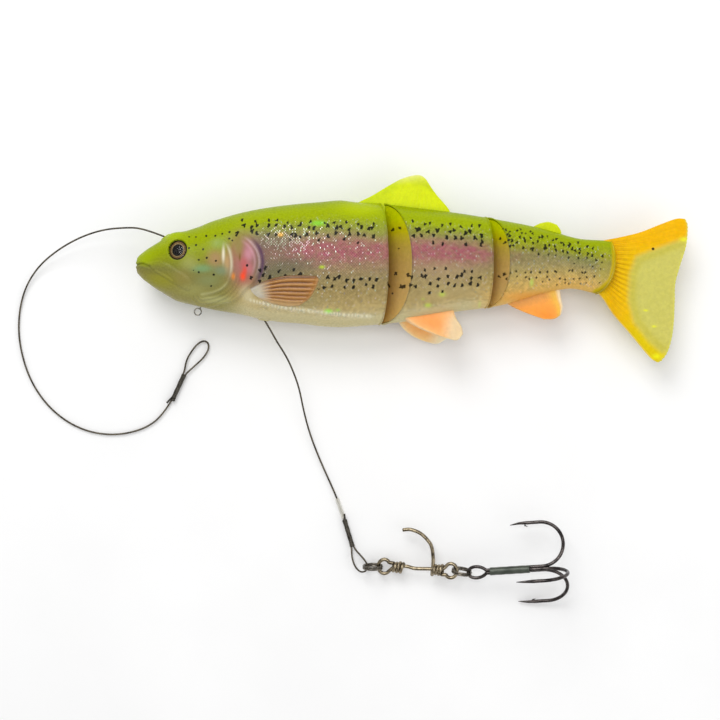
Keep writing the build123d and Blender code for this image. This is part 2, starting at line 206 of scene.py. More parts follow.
def end_caps(rows, columns, flipped=False):
    """The two polygons that close a grid wrapped round its columns."""
    last = (rows - 1) * columns
    caps = [list(range(columns))[::-1], [last + j for j in range(columns)]]
    return [cap[::-1] for cap in caps] if flipped else caps


def points_round(centre, tangent, guess, turn, radii):
    """Rings of points round a line, carried along it without twist; turn and radii go by ring and point."""
    normal = np.zeros_like(centre)
    for i, t in enumerate(tangent):
        guess = guess - t * (guess @ t)
        guess = guess / np.linalg.norm(guess)
        normal[i] = guess
    side = np.cross(tangent, normal)
    ring = np.cos(turn)[..., None] * normal[:, None] + np.sin(turn)[..., None] * side[:, None]
    return (centre[:, None] + ring * radii[..., None]).reshape(-1, 3)


def tube_mesh(centre, radii, sides, closed=False):
    """Points and quads of a round tube along a line; its ends are capped."""
    centre = np.asarray(centre, float)
    radii = np.broadcast_to(radii, len(centre))
    if closed:
        tangent = unit(np.roll(centre, -1, 0) - np.roll(centre, 1, 0))
    else:
        tangent = unit(np.gradient(centre, axis=0))
    guess = np.array([0.0, 0.0, 1.0])
    if abs(tangent[0] @ guess) > 0.9:
        guess = np.array([0.0, 1.0, 0.0])
    angle = np.linspace(0, TAU, sides, endpoint=False)
    verts = points_round(centre, tangent, guess, angle[None], radii[:, None])
    faces = grid_faces(len(centre), sides, True)
    if closed:
        last = (len(centre) - 1) * sides
        faces += [[last + j, last + (j + 1) % sides, (j + 1) % sides, j] for j in range(sides)]
    else:
        faces += end_caps(len(centre), sides)
    return verts, faces


def settle(piece, body, finish, *nodes):
    """Lets a piece ride on a body in place of its CAD nodes."""
    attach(piece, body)
    if nodes:
        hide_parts(*nodes)


def join_parts(parts):
    """Several (points, faces) pairs as one."""
    verts, faces, start = [], [], 0
    for part_verts, part_faces in parts:
        verts.append(part_verts)
        faces += [[index + start for index in face] for face in part_faces]
        start += len(part_verts)
    return np.concatenate(verts), faces


# ---------------------------------------------------------------- the fish's form
# Outline of the body in the mid-plane, and its half width, from snout to tail root
BACK_LINE = [
    (-100.2, 1.6), (-100.05, 3.4), (-99.5, 4.6), (-98.9, 5.2), (-97.5, 6.3), (-96.0, 7.4), (-93.1, 9.2),
    (-91.0, 10.5), (-89.4, 11.6), (-88.0, 12.6), (-82.9, 13.6), (-80.0, 14.5), (-77.1, 15.5), (-73.5, 17.0),
    (-69.9, 18.2), (-62.6, 20.3), (-55.4, 21.8), (-48.1, 22.9), (-40.8, 23.7), (-33.6, 24.3), (-26.3, 24.9),
    (-20.9, 24.3), (-11.8, 23.7), (2.7, 22.0), (17.2, 20.2), (31.8, 17.8), (46.3, 14.9), (53.5, 12.9),
    (57.2, 11.8), (60.8, 11.0), (68.0, 10.5), (73.0, 10.4),
]
BELLY_LINE = [
    (-100.2, 0.4), (-100.05, -0.9), (-99.5, -1.9), (-98.9, -2.6), (-97.5, -4.0), (-96.0, -5.1),
    (-93.1, -7.2), (-91.7, -8.0), (-88.8, -9.8), (-85.9, -11.4), (-80.0, -13.0), (-73.5, -14.5),
    (-69.9, -15.2), (-62.6, -16.4), (-55.4, -18.1), (-48.1, -19.2), (-40.8, -19.8), (-33.6, -20.7),
    (-26.3, -21.1), (-15.4, -20.4), (-4.5, -19.3), (2.7, -18.2), (10.0, -16.7), (17.2, -15.3),
    (24.5, -14.4), (31.8, -13.2), (39.0, -11.4), (46.3, -9.2), (53.5, -7.5), (57.2, -7.1), (60.8, -7.5),
    (66.0, -8.8), (73.0, -10.5),
]
HALF_LINE = [
    (-100.2, 0.0), (-100.05, 1.9), (-99.5, 3.1), (-98.9, 4.0), (-97.5, 5.2), (-96.0, 6.1), (-93.0, 7.4),
    (-90.0, 8.4), (-86.0, 9.4), (-80.0, 10.6), (-73.0, 11.7), (-66.0, 12.6), (-58.0, 13.3), (-50.0, 13.75),
    (-40.0, 13.9), (-27.0, 13.9), (-12.0, 13.5), (4.0, 12.5), (17.0, 11.2), (30.0, 9.6), (43.0, 7.8),
    (55.0, 6.1), (64.0, 4.9), (73.0, 3.5),
]
WIDEST_LINE = [(-100.2, 1.0), (-90.0, 1.0), (-50.0, 1.2), (-20.0, 1.6), (20.0, 2.0), (50.0, 2.6), (73.0, 1.0)]
back_at = spline_1d(BACK_LINE)
belly_at = spline_1d(BELLY_LINE)
half_at = spline_1d(HALF_LINE)
widest_at = spline_1d(WIDEST_LINE)
FULLNESS = 0.86  # power of the section's width; under 1 is fuller than an ellipse


def section_point(x, turn):
    """Y and height over the mid-plane of the skin; turn is 0 at the left flank and a quarter at the back."""
    up = np.sin(turn)
    reach = np.where(up > 0, back_at(x) - widest_at(x), widest_at(x) - belly_at(x))
    out = np.cos(turn)
    return widest_at(x) + reach * up, half_at(x) * np.sign(out) * np.abs(out) ** FULLNESS


def flank_height(x, y):
    """Height of the left flank's skin over the mid-plane at a point of the side view."""
    reach = np.where(y > widest_at(x), back_at(x) - widest_at(x), widest_at(x) - belly_at(x))
    up = np.clip((y - widest_at(x)) / reach, -1, 1)
    return half_at(x) * np.sqrt(np.maximum(1 - up * up, 0)) ** FULLNESS


# Lines of the head and flank, in the side view
EYE = (-84.4, 6.55)
EYE_SIZE = (3.3, 3.55)
MOUTH_LINE = curve_through([
    (-101.0, 1.3), (-99.6, 1.45), (-97.6, 1.7), (-96.0, 1.1), (-94.1, 0.1), (-93.0, -0.8),
], 30)
JAW_LINE = curve_through([(-94.1, 0.1), (-92.6, -1.1), (-90.0, -2.4), (-88.2, -3.5), (-86.6, -4.8)], 30)
MAXILLA = curve_through([
    (-94.8, 1.9), (-91.4, 2.3), (-88.2, 1.4), (-84.8, -0.8), (-81.8, -2.5), (-79.8, -4.8), (-79.4, -6.9),
    (-80.5, -8.0), (-82.6, -7.4), (-85.2, -5.8), (-87.6, -4.1), (-90.2, -2.5), (-92.8, -0.9), (-94.2, 0.3),
], 60, closed=True)[:-1]
CHEEK_EDGE = curve_through([
    (-69.4, 11.0), (-67.4, 9.8), (-65.8, 7.5), (-64.7, 4.0), (-64.5, -0.4), (-65.5, -4.6), (-67.8, -7.4),
    (-71.4, -9.1), (-75.6, -9.8),
], 50)
GILL_EDGE = curve_through([
    (-63.6, 13.2), (-60.2, 11.2), (-57.2, 8.6), (-55.2, 5.4), (-54.5, 1.7), (-55.2, -2.0), (-56.8, -5.3),
    (-59.8, -7.9), (-63.3, -11.2), (-68.6, -13.4),
], 60)
BEAD_LINE = curve_through([
    (-60.5, -11.0), (-54.6, -12.6), (-47.0, -14.2), (-36.0, -15.6), (-24.0, -16.9), (-13.5, -17.4),
], 40)


def head_relief(x, y):
    """How far the carved head stands out of the plain skin."""
    side_fade = smooth(flank_height(x, y) / np.maximum(half_at(x), 0.1), 0.10, 0.45)
    out = np.zeros(x.shape)

    gap, _, along = line_distance(x, y, MOUTH_LINE)
    out -= 0.4 * hill(gap, 0, 0.34) * falling(along, 0.5, 1.0)
    out += 0.22 * hill(gap, 0.75, 0.45)
    gap, side, _ = line_distance(x, y, JAW_LINE)
    out += 0.28 * hill(gap, 0, 0.4) - 0.16 * hill(gap * side, 0.8, 0.4)

    gap = inside_distance(x, y, MAXILLA)
    out += 0.3 * falling(gap, -0.7, 0.35) - 0.08 * hill(gap, 0.5, 0.4)

    gap, side, along = line_distance(x, y, CHEEK_EDGE)
    signed = gap * side
    ends = smooth(along, 0.0, 0.12) * falling(along, 0.85, 1.0)
    out += ends * 0.5 * falling(signed, -0.4, 0.1) * np.exp(-gap / 3.2)
    out -= ends * 0.2 * hill(signed, 0.5, 0.45)

    gap, side, along = line_distance(x, y, GILL_EDGE)
    signed = gap * side
    ends = smooth(along, 0.0, 0.10) * falling(along, 0.9, 1.0)
    out += ends * 0.85 * falling(signed, -0.55, 0.05) * np.exp(-gap / 4.5)
    out -= ends * 0.28 * hill(signed, 0.55, 0.5)

    gap, side, along = line_distance(x, y, CHEEK_EDGE)
    folds = smooth(along, 0.45, 0.6) * (side > 0) * falling(gap, 4.2, 5.2) * smooth(gap, 0.5, 1.0)
    out += 0.2 * folds * np.cos(TAU * gap / 1.35)

    eye_x, eye_y = (x - EYE[0]) / EYE_SIZE[0], (y - EYE[1]) / EYE_SIZE[1]
    ring = np.hypot(eye_x, eye_y)
    out += 0.3 * hill(ring, 1.16, 0.14) + 0.15 * hill(ring, 1.4, 0.3)
    out -= 1.7 * falling(ring, 0.97, 1.04)
    return out * side_fade


def body_relief(x, y):
    """The row of bead-like scales where the scaled flank ends over the belly."""
    gap, _, along = line_distance(x, y, BEAD_LINE)
    ends = smooth(along, 0.0, 0.08) * falling(along, 0.95, 1.0)
    return ends * 0.14 * hill(gap, 0, 0.45) * (1 + 0.5 * np.cos(TAU * x / 0.95))


# ---------------------------------------------------------------- materials
class Graph:
    """A node material, built by calls that return sockets."""

    def __init__(self, name, **constants):
        self.material = bpy.data.materials.new(name)
        self.material.use_nodes = True
        self.tree = self.material.node_tree
        self.shader = self.tree.nodes["Principled BSDF"]
        for key, value in constants.items():
            self.shader.inputs[key.replace("_", " ")].default_value = value

    def node(self, kind, inputs=(), **settings):
        """A new node, with its inputs set by name or by number."""
        made = self.tree.nodes.new("ShaderNode" + kind)
        for key, value in settings.items():
            setattr(made, key, value)
        for key, value in dict(inputs).items():
            self.put(made.inputs[key], value)
        return made

    def put(self, socket, value):
        if isinstance(value, bpy.types.NodeSocket):
            self.tree.links.new(value, socket)
        elif isinstance(value, tuple) and len(value) == 3 and socket.type == "RGBA":
            socket.default_value = (*value, 1)
        else:
            socket.default_value = value

    def set(self, name, value):
        self.put(self.shader.inputs[name], value)

    def value(self, name):
        return self.node("Attribute", attribute_name=name).outputs["Fac"]

    def colour(self, name):
        made = self.node("Attribute", attribute_name=name)
        return made.outputs["Color"], made.outputs["Alpha"]

    def math(self, operation, a, b=0.0):
        return self.node("Math", {0: a, 1: b}, operation=operation).outputs[0]

    def times(self, first, *others):
        for other in others:
            first = self.math("MULTIPLY", first, other)
        return first

    def plus(self, a, b):
        return self.math("ADD", a, b)

    def minus(self, a, b):
        return self.math("SUBTRACT", a, b)

    def step(self, value, low, high, to_low=0.0, to_high=1.0):
        inputs = enumerate((value, low, high, to_low, to_high))
        return self.node("MapRange", inputs, interpolation_type="SMOOTHSTEP").outputs[0]

    def mix(self, share, a, b, blend="MIX"):
        return self.node("Mix", {0: share, 6: a, 7: b}, data_type="RGBA", blend_type=blend).outputs[2]

    def shaded(self, colour, factor):
        """A colour times a grey factor."""
        return self.mix(1.0, colour, self.combine(factor, factor, factor), "MULTIPLY")

    def ramp(self, value, stops):
        """A colour ramp; its stops are given as display values."""
        made = self.node("ValToRGB", {0: value})
        band = made.color_ramp
        while len(band.elements) < len(stops):
            band.elements.new(0.5)
        for element, (place, colour) in zip(band.elements, stops):
            element.position = place
            element.color = (*srgb(*colour), 1)
        return made.outputs[0]

    def combine(self, x, y, z=0.0):
        return self.node("CombineXYZ", {0: x, 1: y, 2: z}).outputs[0]

    def noise(self, vector, scale, detail=3.0, roughness=0.55):
        inputs = {"Vector": vector, "Scale": scale, "Detail": detail, "Roughness": roughness}
        return self.node("TexNoise", inputs).outputs[0]

    def cells(self, vector, scale, randomness):
        """Distance to the nearest cell's point, the cell's colour and its point."""
        inputs = {"Vector": vector, "Scale": scale, "Randomness": randomness}
        found = self.node("TexVoronoi", inputs, voronoi_dimensions="2D").outputs
        return found["Distance"], found["Color"], found["Position"]

    def split(self, vector):
        return self.node("SeparateXYZ", {0: vector}).outputs

    def place(self):
        return self.node("TexCoord").outputs["Object"]

    def bump(self, height, depth_mm, strength=1.0, under=None):
        inputs = {"Strength": strength, "Distance": depth_mm * MM, "Height": height}
        if under is not None:
            inputs["Normal"] = under
        return self.node("Bump", inputs).outputs[0]


BODY_TONES = [
    (0.00, (200, 188, 138)), (0.06, (204, 192, 146)), (0.14, (186, 164, 108)), (0.26, (160, 140, 88)),
    (0.38, (150, 134, 90)), (0.48, (150, 130, 94)), (0.62, (156, 124, 100)), (0.71, (144, 136, 86)),
    (0.78, (142, 150, 50)), (0.85, (152, 168, 0)), (0.93, (154, 172, 0)), (1.00, (140, 158, 0)),
]
HEAD_TONES = [
    (0.00, (156, 148, 90)), (0.12, (146, 140, 76)), (0.28, (130, 124, 62)), (0.42, (124, 122, 60)),
    (0.58, (136, 142, 30)), (0.72, (142, 156, 0)), (0.86, (150, 166, 0)), (1.00, (144, 162, 0)),
]
REAR_TONES = [
    (0.00, (222, 178, 92)), (0.14, (212, 174, 96)), (0.30, (182, 158, 90)), (0.46, (148, 138, 88)),
    (0.58, (134, 134, 76)), (0.68, (142, 146, 34)), (0.80, (148, 162, 0)), (1.00, (150, 168, 0)),
]
# The faces' colours are lighter than their own: painted light that offsets the shade in the recess at each
# joint.
BAND_TONES_WITH_PAINTED_LIGHT = [
    (0.00, (212, 176, 102)), (0.25, (198, 164, 98)), (0.50, (190, 158, 86)), (0.66, (188, 164, 64)),
    (0.76, (192, 180, 14)), (0.88, (194, 202, 0)), (1.00, (192, 202, 0)),
]
HEAD_END = (-70.0, -58.0)  # the head's colours give way to the body's over this stretch
REAR_START = (18.0, 34.0)
SCALE_PITCH = 1.0


def stripe_print(g, base, along, arc, flat):
    """The pink stripe over the base colour, blotched along its length and speckled."""
    stripe = g.value("stripe")
    stretched = g.combine(g.times(along, 0.6), arc)
    blotch = g.step(g.noise(stretched, 0.55, 4.0, 0.65), 0.32, 0.66, 0.35, 1.0)
    base = g.mix(g.times(stripe, blotch), base, srgb(164, 86, 100))
    specks = g.step(g.noise(flat, 1.6, 3.0, 0.7), 0.58, 0.68)
    return g.mix(g.times(stripe, specks, 0.7), base, srgb(140, 40, 86))


def scale_print(g, base, along, arc, flat):
    """Scales on a diagonal lattice, each with its own brightness and painted light and shade on its slopes,
    painted shade in the grooves between them, pale painted highlight specks and a few that flash with painted
    glints.

    Gives the colour, the flash, a random number for each scale and the height of the scales' relief.
    """
    scaled = g.value("scaled")
    across = g.math("DIVIDE", along, SCALE_PITCH)
    up = g.math("DIVIDE", arc, SCALE_PITCH)
    rising, falling_back = g.plus(across, up), g.minus(across, up)
    distance, cell_colour, cell_place = g.cells(g.combine(rising, falling_back), 1.0, 0.22)
    pick, cell = g.split(cell_colour), g.split(cell_place)
    lean = g.plus(g.minus(rising, cell[0]), g.minus(falling_back, cell[1]))
    # Each scale is lighter where it stands higher and darker where it dips: painted light and shade, over its
    # own random brightness.
    shade = g.times(g.step(pick[0], 0.0, 1.0, 0.86, 1.14), g.step(lean, -0.7, 0.7, 0.80, 1.22))
    base = g.shaded(base, g.plus(g.times(g.minus(shade, 1.0), scaled), 1.0))
    # Painted shade in the grooves between the scales.
    groove = g.times(g.step(distance, 0.42, 0.68), scaled)
    base = g.mix(g.times(groove, 0.42), base, srgb(84, 80, 56))
    # Pale specks over the scaled flank: painted highlights.
    highlight_specks = g.step(g.noise(flat, 2.7, 2.0, 0.6), 0.60, 0.70)
    base = g.mix(g.times(highlight_specks, scaled, 0.34), base, srgb(222, 210, 190))
    # Painted glints at the raised edges of a few scales; the same scales also turn partly metallic.
    edge = g.times(g.step(lean, 0.10, 0.40), g.step(distance, 0.22, 0.40))
    chance = g.step(g.plus(pick[2], g.times(g.value("flash"), 0.5)), 0.92, 1.06)
    flash = g.times(chance, edge, scaled)
    tint = g.mix(pick[1], srgb(206, 240, 214), srgb(246, 214, 228))
    base = g.mix(g.times(flash, 0.8), base, tint)
    height = g.times(g.minus(g.times(lean, 0.35), g.times(distance, distance)), scaled)
    return base, flash, pick[0], height


def band_print(g, base, band, tone):
    """The mottled colours of the V-shaped faces at the joints, lightened with painted light against the shade
    of their recess.
    """
    colour = g.ramp(tone, BAND_TONES_WITH_PAINTED_LIGHT)
    mottled = g.step(g.noise(g.place(), 900.0, 3.0), 0.3, 0.8, 0.92, 1.06)
    return g.mix(band, base, g.shaded(colour, mottled))


def spot_print(g, base, band, flat):
    """The black spots, with ragged edges."""
    wander = g.times(g.minus(g.noise(flat, 2.4, 2.0), 0.5), 0.22)
    inked = g.step(g.plus(g.value("spot"), wander), -0.10, 0.10, 1.0, 0.0)
    return g.mix(g.times(inked, g.step(band, 0.0, 1.0, 0.96, 0.9)), base, srgb(18, 18, 16))


def skin_material():
    """Moulded soft plastic with printed colours, scales, spots and glitter, with painted highlights, glints
    and shade on the scales.
    """
    g = Graph(
        "fish_skin", Subsurface_Scale=0.002, Coat_Weight=0.04, Coat_Roughness=0.1, Specular_IOR_Level=0.08,
    )
    g.shader.inputs["Subsurface Radius"].default_value = (1.0, 0.8, 0.4)
    along, arc, band = g.value("along"), g.value("arc"), g.value("band")
    flat = g.combine(along, arc)
    drift = g.times(g.minus(g.noise(flat, 0.35), 0.5), 0.07)
    tone = g.plus(g.value("tone"), drift)
    base = g.mix(g.step(along, *HEAD_END), g.ramp(tone, HEAD_TONES), g.ramp(tone, BODY_TONES))
    base = g.mix(g.step(along, *REAR_START), base, g.ramp(tone, REAR_TONES))
    grain = g.step(g.noise(flat, 1.5, 3.0, 0.7), 0.36, 0.64, 0.90, 1.10)
    base = stripe_print(g, g.shaded(base, grain), along, arc, flat)
    base, flash, pick, height = scale_print(g, base, along, arc, flat)
    paint, cover = g.colour("paint")
    base = band_print(g, g.mix(cover, base, paint), band, tone)
    g.set("Base Color", spot_print(g, base, band, flat))
    g.set("Roughness", g.plus(g.step(pick, 0.0, 1.0, 0.24, 0.44), g.times(band, 0.06)))
    g.set("Metallic", g.times(flash, 0.6))
    g.set("Subsurface Weight", g.step(band, 0.0, 1.0, 0.12, 0.7))
    fine = g.bump(g.noise(g.place(), 2600.0, 4.0), 0.02, 0.35)
    g.set("Normal", g.bump(height, 0.10, 0.9, fine))
    return g.material


SKIN = skin_material()


def metal_material(name, dark, light, roughness, streak_mm, depth_mm=0.02):
    """Wire or forged metal with worn colour, fine drawn streaks and uneven polish."""
    g = Graph(name, Metallic=1.0, Specular_IOR_Level=0.6)
    place = g.place()
    blotch = g.noise(place, 420.0, 4.0)
    fine = g.noise(place, 1 / (streak_mm * MM), 3.0)
    worn = g.step(g.plus(g.times(fine, 0.5), g.times(blotch, 0.5)), 0.36, 0.62)
    g.set("Base Color", g.mix(worn, srgb(*dark), srgb(*light)))
    g.set("Roughness", g.step(blotch, 0.3, 0.7, roughness * 0.75, roughness * 1.3))
    g.set("Normal", g.bump(fine, depth_mm, 0.5))
    return g.material


def plastic_material(name, dark, light, roughness, grain_mm=0.25, **constants):
    """Moulded plastic or fabric with a fine grain and slightly uneven colour."""
    g = Graph(name, **constants)
    place = g.place()
    blotch = g.noise(place, 260.0, 3.0)
    grain = g.noise(place, 1 / (grain_mm * MM), 4.0)
    g.set("Base Color", g.mix(g.step(blotch, 0.3, 0.7), srgb(*dark), srgb(*light)))
    g.set("Roughness", g.step(grain, 0.3, 0.7, roughness * 0.8, roughness * 1.2))
    g.set("Normal", g.bump(grain, 0.02, 0.4))
    return g.material


TRACE = metal_material("trace_wire", (44, 40, 34), (112, 104, 90), 0.36, 0.18)
CRIMP = metal_material("crimp_metal", (40, 38, 34), (92, 88, 80), 0.34, 0.3)
RING = metal_material("ring_steel", (44, 41, 37), (140, 133, 122), 0.16, 0.35)
PIN = metal_material("pin_bronze", (70, 62, 50), (168, 154, 128), 0.2, 0.3)
HOOK = metal_material("hook_black_nickel", (34, 32, 32), (92, 86, 84), 0.16, 0.4)
EYE_WIRE = metal_material("throat_wire", (92, 90, 84), (160, 156, 146), 0.24, 0.3)
BRAZE = plastic_material("shank_braze", (52, 58, 50), (78, 84, 74), 0.34, Metallic=0.35)
SLEEVE = plastic_material("sleeve_clear", (226, 222, 206), (244, 242, 232), 0.18, Alpha=0.5)
TUBE = plastic_material("tube_plastic", (196, 190, 120), (214, 208, 140), 0.3)
FABRIC = plastic_material("harness_fabric", (210, 206, 196), (232, 230, 222), 0.8, 0.4)
LEAD = metal_material("ballast_lead", (92, 92, 96), (132, 132, 138), 0.55, 0.6)


# ---------------------------------------------------------------- camera, light and floor
CAMERA_PLACE = (-19.1, -33.0, 613.7)
FIELD_OF_VIEW = 24.6
SENSOR = 36.0
FLOOR_HALF = 900.0
FLOOR_LEVEL = -0.4  # just under everything that rests on it
SKY_STRENGTH = 0.58
# Name, place and size in metres, power in watts
LAMPS = [
    ("key", (-0.25, 0.55, 0.75), 0.5, 3.7), ("fill", (0.6, -0.3, 0.6), 0.7, 1.5),
    ("top", (-0.1, 0.1, 1.0), 0.3, 1.4),
]


def make_camera():
    """Straight down onto the lure, with its back towards the top of the picture."""
    data = bpy.data.cameras.new("camera")
    data.sensor_width = SENSOR
    data.lens = SENSOR / 2 / math.tan(math.radians(FIELD_OF_VIEW / 2))
    data.clip_start = 0.01
    data.clip_end = 10
    camera = bpy.data.objects.new("camera", data)
    camera.location = [value * MM for value in CAMERA_PLACE]
    bpy.context.scene.collection.objects.link(camera)
    bpy.context.scene.camera = camera


def area_light(name, place, size, power):
    """A soft square light aimed at the lure; places in metres."""
    data = bpy.data.lights.new(name, "AREA")
    data.size = size
    data.energy = power
    lamp = bpy.data.objects.new(name, data)
    lamp.location = place
    lamp.rotation_euler = (-mathutils.Vector(place)).to_track_quat("-Z", "Y").to_euler()
    bpy.context.scene.collection.objects.link(lamp)


def make_stage():
    """A plain pale floor, an even surrounding light and three soft lamps."""
    g = Graph("pale_floor")
    shade = g.noise(g.place(), 14.0, 3.0)
    g.set("Base Color", g.mix(g.step(shade, 0.3, 0.7), (0.93, 0.93, 0.93), (0.96, 0.96, 0.96)))
    g.set("Roughness", g.step(shade, 0.3, 0.7, 0.75, 0.85))
    corners = [(x * FLOOR_HALF, y * FLOOR_HALF, FLOOR_LEVEL) for x, y in ((-1, -1), (1, -1), (1, 1), (-1, 1))]
    floor = add_mesh("floor", corners, [(0, 1, 2, 3)], g.material)

    world = bpy.data.worlds.new("studio")
    world.use_nodes = True
    background = world.node_tree.nodes["Background"]
    background.inputs["Color"].default_value = (1, 1, 1, 1)
    background.inputs["Strength"].default_value = SKY_STRENGTH
    bpy.context.scene.world = world
    for lamp in LAMPS:
        area_light(*lamp)
    bpy.context.scene.view_settings.view_transform = "Standard"


make_camera()
make_stage()


# ---------------------------------------------------------------- wire rig
# The trace's two routes, in metres, as the model draws them: both start at the middle of the line tube
FRONT_ROUTE = [
    (-0.06971, -0.00036, 0.0139), (-0.07262, 0.00191, 0.0139), (-0.07872, 0.00608, 0.0139),
    (-0.08518, 0.00965, 0.0139), (-0.09196, 0.01259, 0.0139), (-0.09898, 0.01489, 0.0139),
    (-0.1037, 0.0152, 0.0130), (-0.1128, 0.0147, 0.0108), (-0.1221, 0.0120, 0.0076),
    (-0.1309, 0.0075, 0.0044), (-0.1386, 0.0014, 0.0020), (-0.1439, -0.0071, 0.0008),
    (-0.1461, -0.0178, 0.0004), (-0.1454, -0.0289, 0.00042), (-0.1413, -0.0416, 0.0004),
    (-0.1333, -0.0523, 0.00042), (-0.1224, -0.0592, 0.0004), (-0.1103, -0.0612, 0.00042),
    (-0.0988, -0.0586, 0.00045), (-0.0918, -0.0530, 0.0006), (-0.08755, -0.04537, 0.0009),
]
BELLY_ROUTE = [
    (-0.06971, -0.00036, 0.0139), (-0.06693, -0.00281, 0.0139), (-0.06172, -0.00804, 0.0139),
    (-0.05702, -0.01374, 0.0139), (-0.05289, -0.01986, 0.0139), (-0.04934, -0.02633, 0.0139),
    (-0.0463, -0.0310, 0.0130), (-0.0438, -0.0363, 0.0110), (-0.0414, -0.0433, 0.0078),
    (-0.0399, -0.0518, 0.0044), (-0.0377, -0.0604, 0.0020), (-0.0343, -0.0694, 0.0008),
    (-0.0304, -0.0781, 0.0005), (-0.0272, -0.0853, 0.0006), (-0.02404, -0.09507, 0.0009),
]
FRONT_LOOP = [
    (-0.08645, -0.04148, 0.0009), (-0.08465, -0.03814, 0.0009), (-0.0842, -0.0366, 0.0009),
    (-0.0836, -0.0332, 0.0008), (-0.0819, -0.0301, 0.0007), (-0.0797, -0.0272, 0.0007),
    (-0.0772, -0.0257, 0.0007), (-0.0753, -0.0266, 0.0007), (-0.0753, -0.0292, 0.0007),
    (-0.0772, -0.0322, 0.0007), (-0.0800, -0.0348, 0.0008), (-0.0827, -0.0372, 0.0009),
    (-0.08395, -0.03846, 0.0009), (-0.0852, -0.04118, 0.0009),
]
BELLY_LOOP = [
    (-0.02246, -0.09922, 0.0009), (-0.02154, -0.10209, 0.0009), (-0.0206, -0.1036, 0.0013),
    (-0.0188, -0.1054, 0.0026), (-0.0170, -0.1074, 0.0034), (-0.0162, -0.1094, 0.0037),
    (-0.0170, -0.1112, 0.0037), (-0.0191, -0.1114, 0.0036), (-0.0210, -0.1094, 0.0030),
    (-0.0220, -0.1066, 0.0020), (-0.0222, -0.1040, 0.0012), (-0.02226, -0.10231, 0.0009),
    (-0.02318, -0.09944, 0.0009),
]
HEAD_MOUTH = (-0.0899, 0.0118, 0.0139)
BELLY_MOUTH = (-0.0541, -0.0180, 0.0139)
WIRE = 0.35  # radius
RING_STEP = 0.45  # between the rings of points of a laid wire
LAY_PITCH = 3.2
CRIMP_RADIUS = 0.88
SLEEVE_RADIUS = 0.74
SLEEVE_SPAN = (-91.9, -84.0)  # the clear sleeve's ends, in y


def route_line(name, route):
    """Points in metres along the smooth spline that a route's points control."""
    curve = bpy.data.curves.new(name, "CURVE")
    curve.dimensions = "3D"
    curve.resolution_u = 16
    spline = curve.splines.new("NURBS")
    spline.points.add(len(route) - 1)
    for point, place in zip(spline.points, route):
        point.co = (*place, 1)
    spline.order_u = 3
    spline.use_endpoint_u = True
    holder = bpy.data.objects.new(name, curve)
    mesh = bpy.data.meshes.new_from_object(holder)
    line = np.array([vertex.co for vertex in mesh.vertices])
    bpy.data.objects.remove(holder)
    return line


def rope_mesh(centre, radius, pitch, strands=6, per_strand=5):
    """A twisted rope as one closed surface whose lobes are its outer strands."""
    columns = strands * per_strand
    angle = np.arange(columns) / columns * TAU
    lobe = 0.80 + 0.20 * np.abs(np.cos(strands / 2 * angle)) ** 0.8
    turn = angle[None] + (lengths_along(centre) / pitch * TAU)[:, None]
    tangent = unit(np.gradient(centre, axis=0))
    guess = np.array([0.03, 0.05, 1.0])
    verts = points_round(centre, tangent, guess, turn, (radius * lobe)[None])
    return verts, grid_faces(len(centre), columns, True) + end_caps(len(centre), columns)


def wire_piece(name, node, line):
    """A laid wire along points in metres."""
    line = line / MM
    rings = max(int(lengths_along(line)[-1] / RING_STEP), 12)
    verts, faces = rope_mesh(resample(line, rings), WIRE, LAY_PITCH)
    piece = add_mesh(name, verts, faces, TRACE)
    settle(piece, "trace", "trace_steel", node)
    return piece


def crimp_piece(name, node, start, end, tag):
    """A pressed sleeve with flared mouths and three pinches, and the cut end of the wire beside it."""
    start, end = np.array(start), np.array(end)
    share = np.linspace(0, 1, 72)
    centre = start + (end - start) * share[:, None]
    length = np.linalg.norm(end - start)
    along = share * length
    pinches = sum(hill(along, length * place, 0.85) for place in (0.22, 0.5, 0.78))
    flare = 0.08 * hill(along, 0, 0.5) + 0.08 * hill(along, length, 0.5)
    lip = np.minimum(smooth(along, -0.02, 0.25), falling(along, length - 0.25, length + 0.02))
    radii = (CRIMP_RADIUS + flare - 0.09 * pinches) * (0.72 + 0.28 * lip)
    stub = tube_mesh(np.linspace(*tag, 10), WIRE, 12)
    verts, faces = join_parts([tube_mesh(centre, radii, 28), stub])
    piece = add_mesh(name, verts, faces, CRIMP)
    settle(piece, "trace", "crimp_metal", node)
    return piece


def make_trace():
    """The trace wire's two runs, their crimps and end loops, and the clear sleeve."""
    front_line = route_line("front_route", FRONT_ROUTE)
    belly_line = route_line("belly_route", BELLY_ROUTE)
    front_trace = wire_piece("trace_front_wire", "trace_front", front_line)
    belly_trace = wire_piece("trace_belly_wire", "trace_belly", belly_line)
    front_loop = wire_piece("front_loop_wire", "front_loop", route_line("front_loop_route", FRONT_LOOP))
    belly_loop = wire_piece("belly_loop_wire", "belly_loop", route_line("belly_loop_route", BELLY_LOOP))
    front_crimp = crimp_piece(
        "front_crimp_sleeve", "front_crimp", (-88.8, -48.1, 0.95), (-84.3, -38.3, 0.95),
        ((-88.5, -46.5, 1.4), (-90.8, -48.9, 0.9)),
    )
    belly_crimp = crimp_piece(
        "belly_crimp_sleeve", "belly_crimp", (-24.9, -92.2, 0.95), (-21.9, -102.2, 0.95),
        ((-24.6, -92.9, 1.5), (-24.9, -90.0, 1.5)),
    )

    low, high = SLEEVE_SPAN
    covered = belly_line[(belly_line[:, 1] > low * MM) & (belly_line[:, 1] < high * MM)] / MM
    verts, faces = tube_mesh(resample(covered, 24), SLEEVE_RADIUS, 20)
    sleeve = add_mesh("clear_sleeve_skin", verts, faces, SLEEVE)
    settle(sleeve, "trace", "sleeve_plastic", "clear_sleeve")


make_trace()


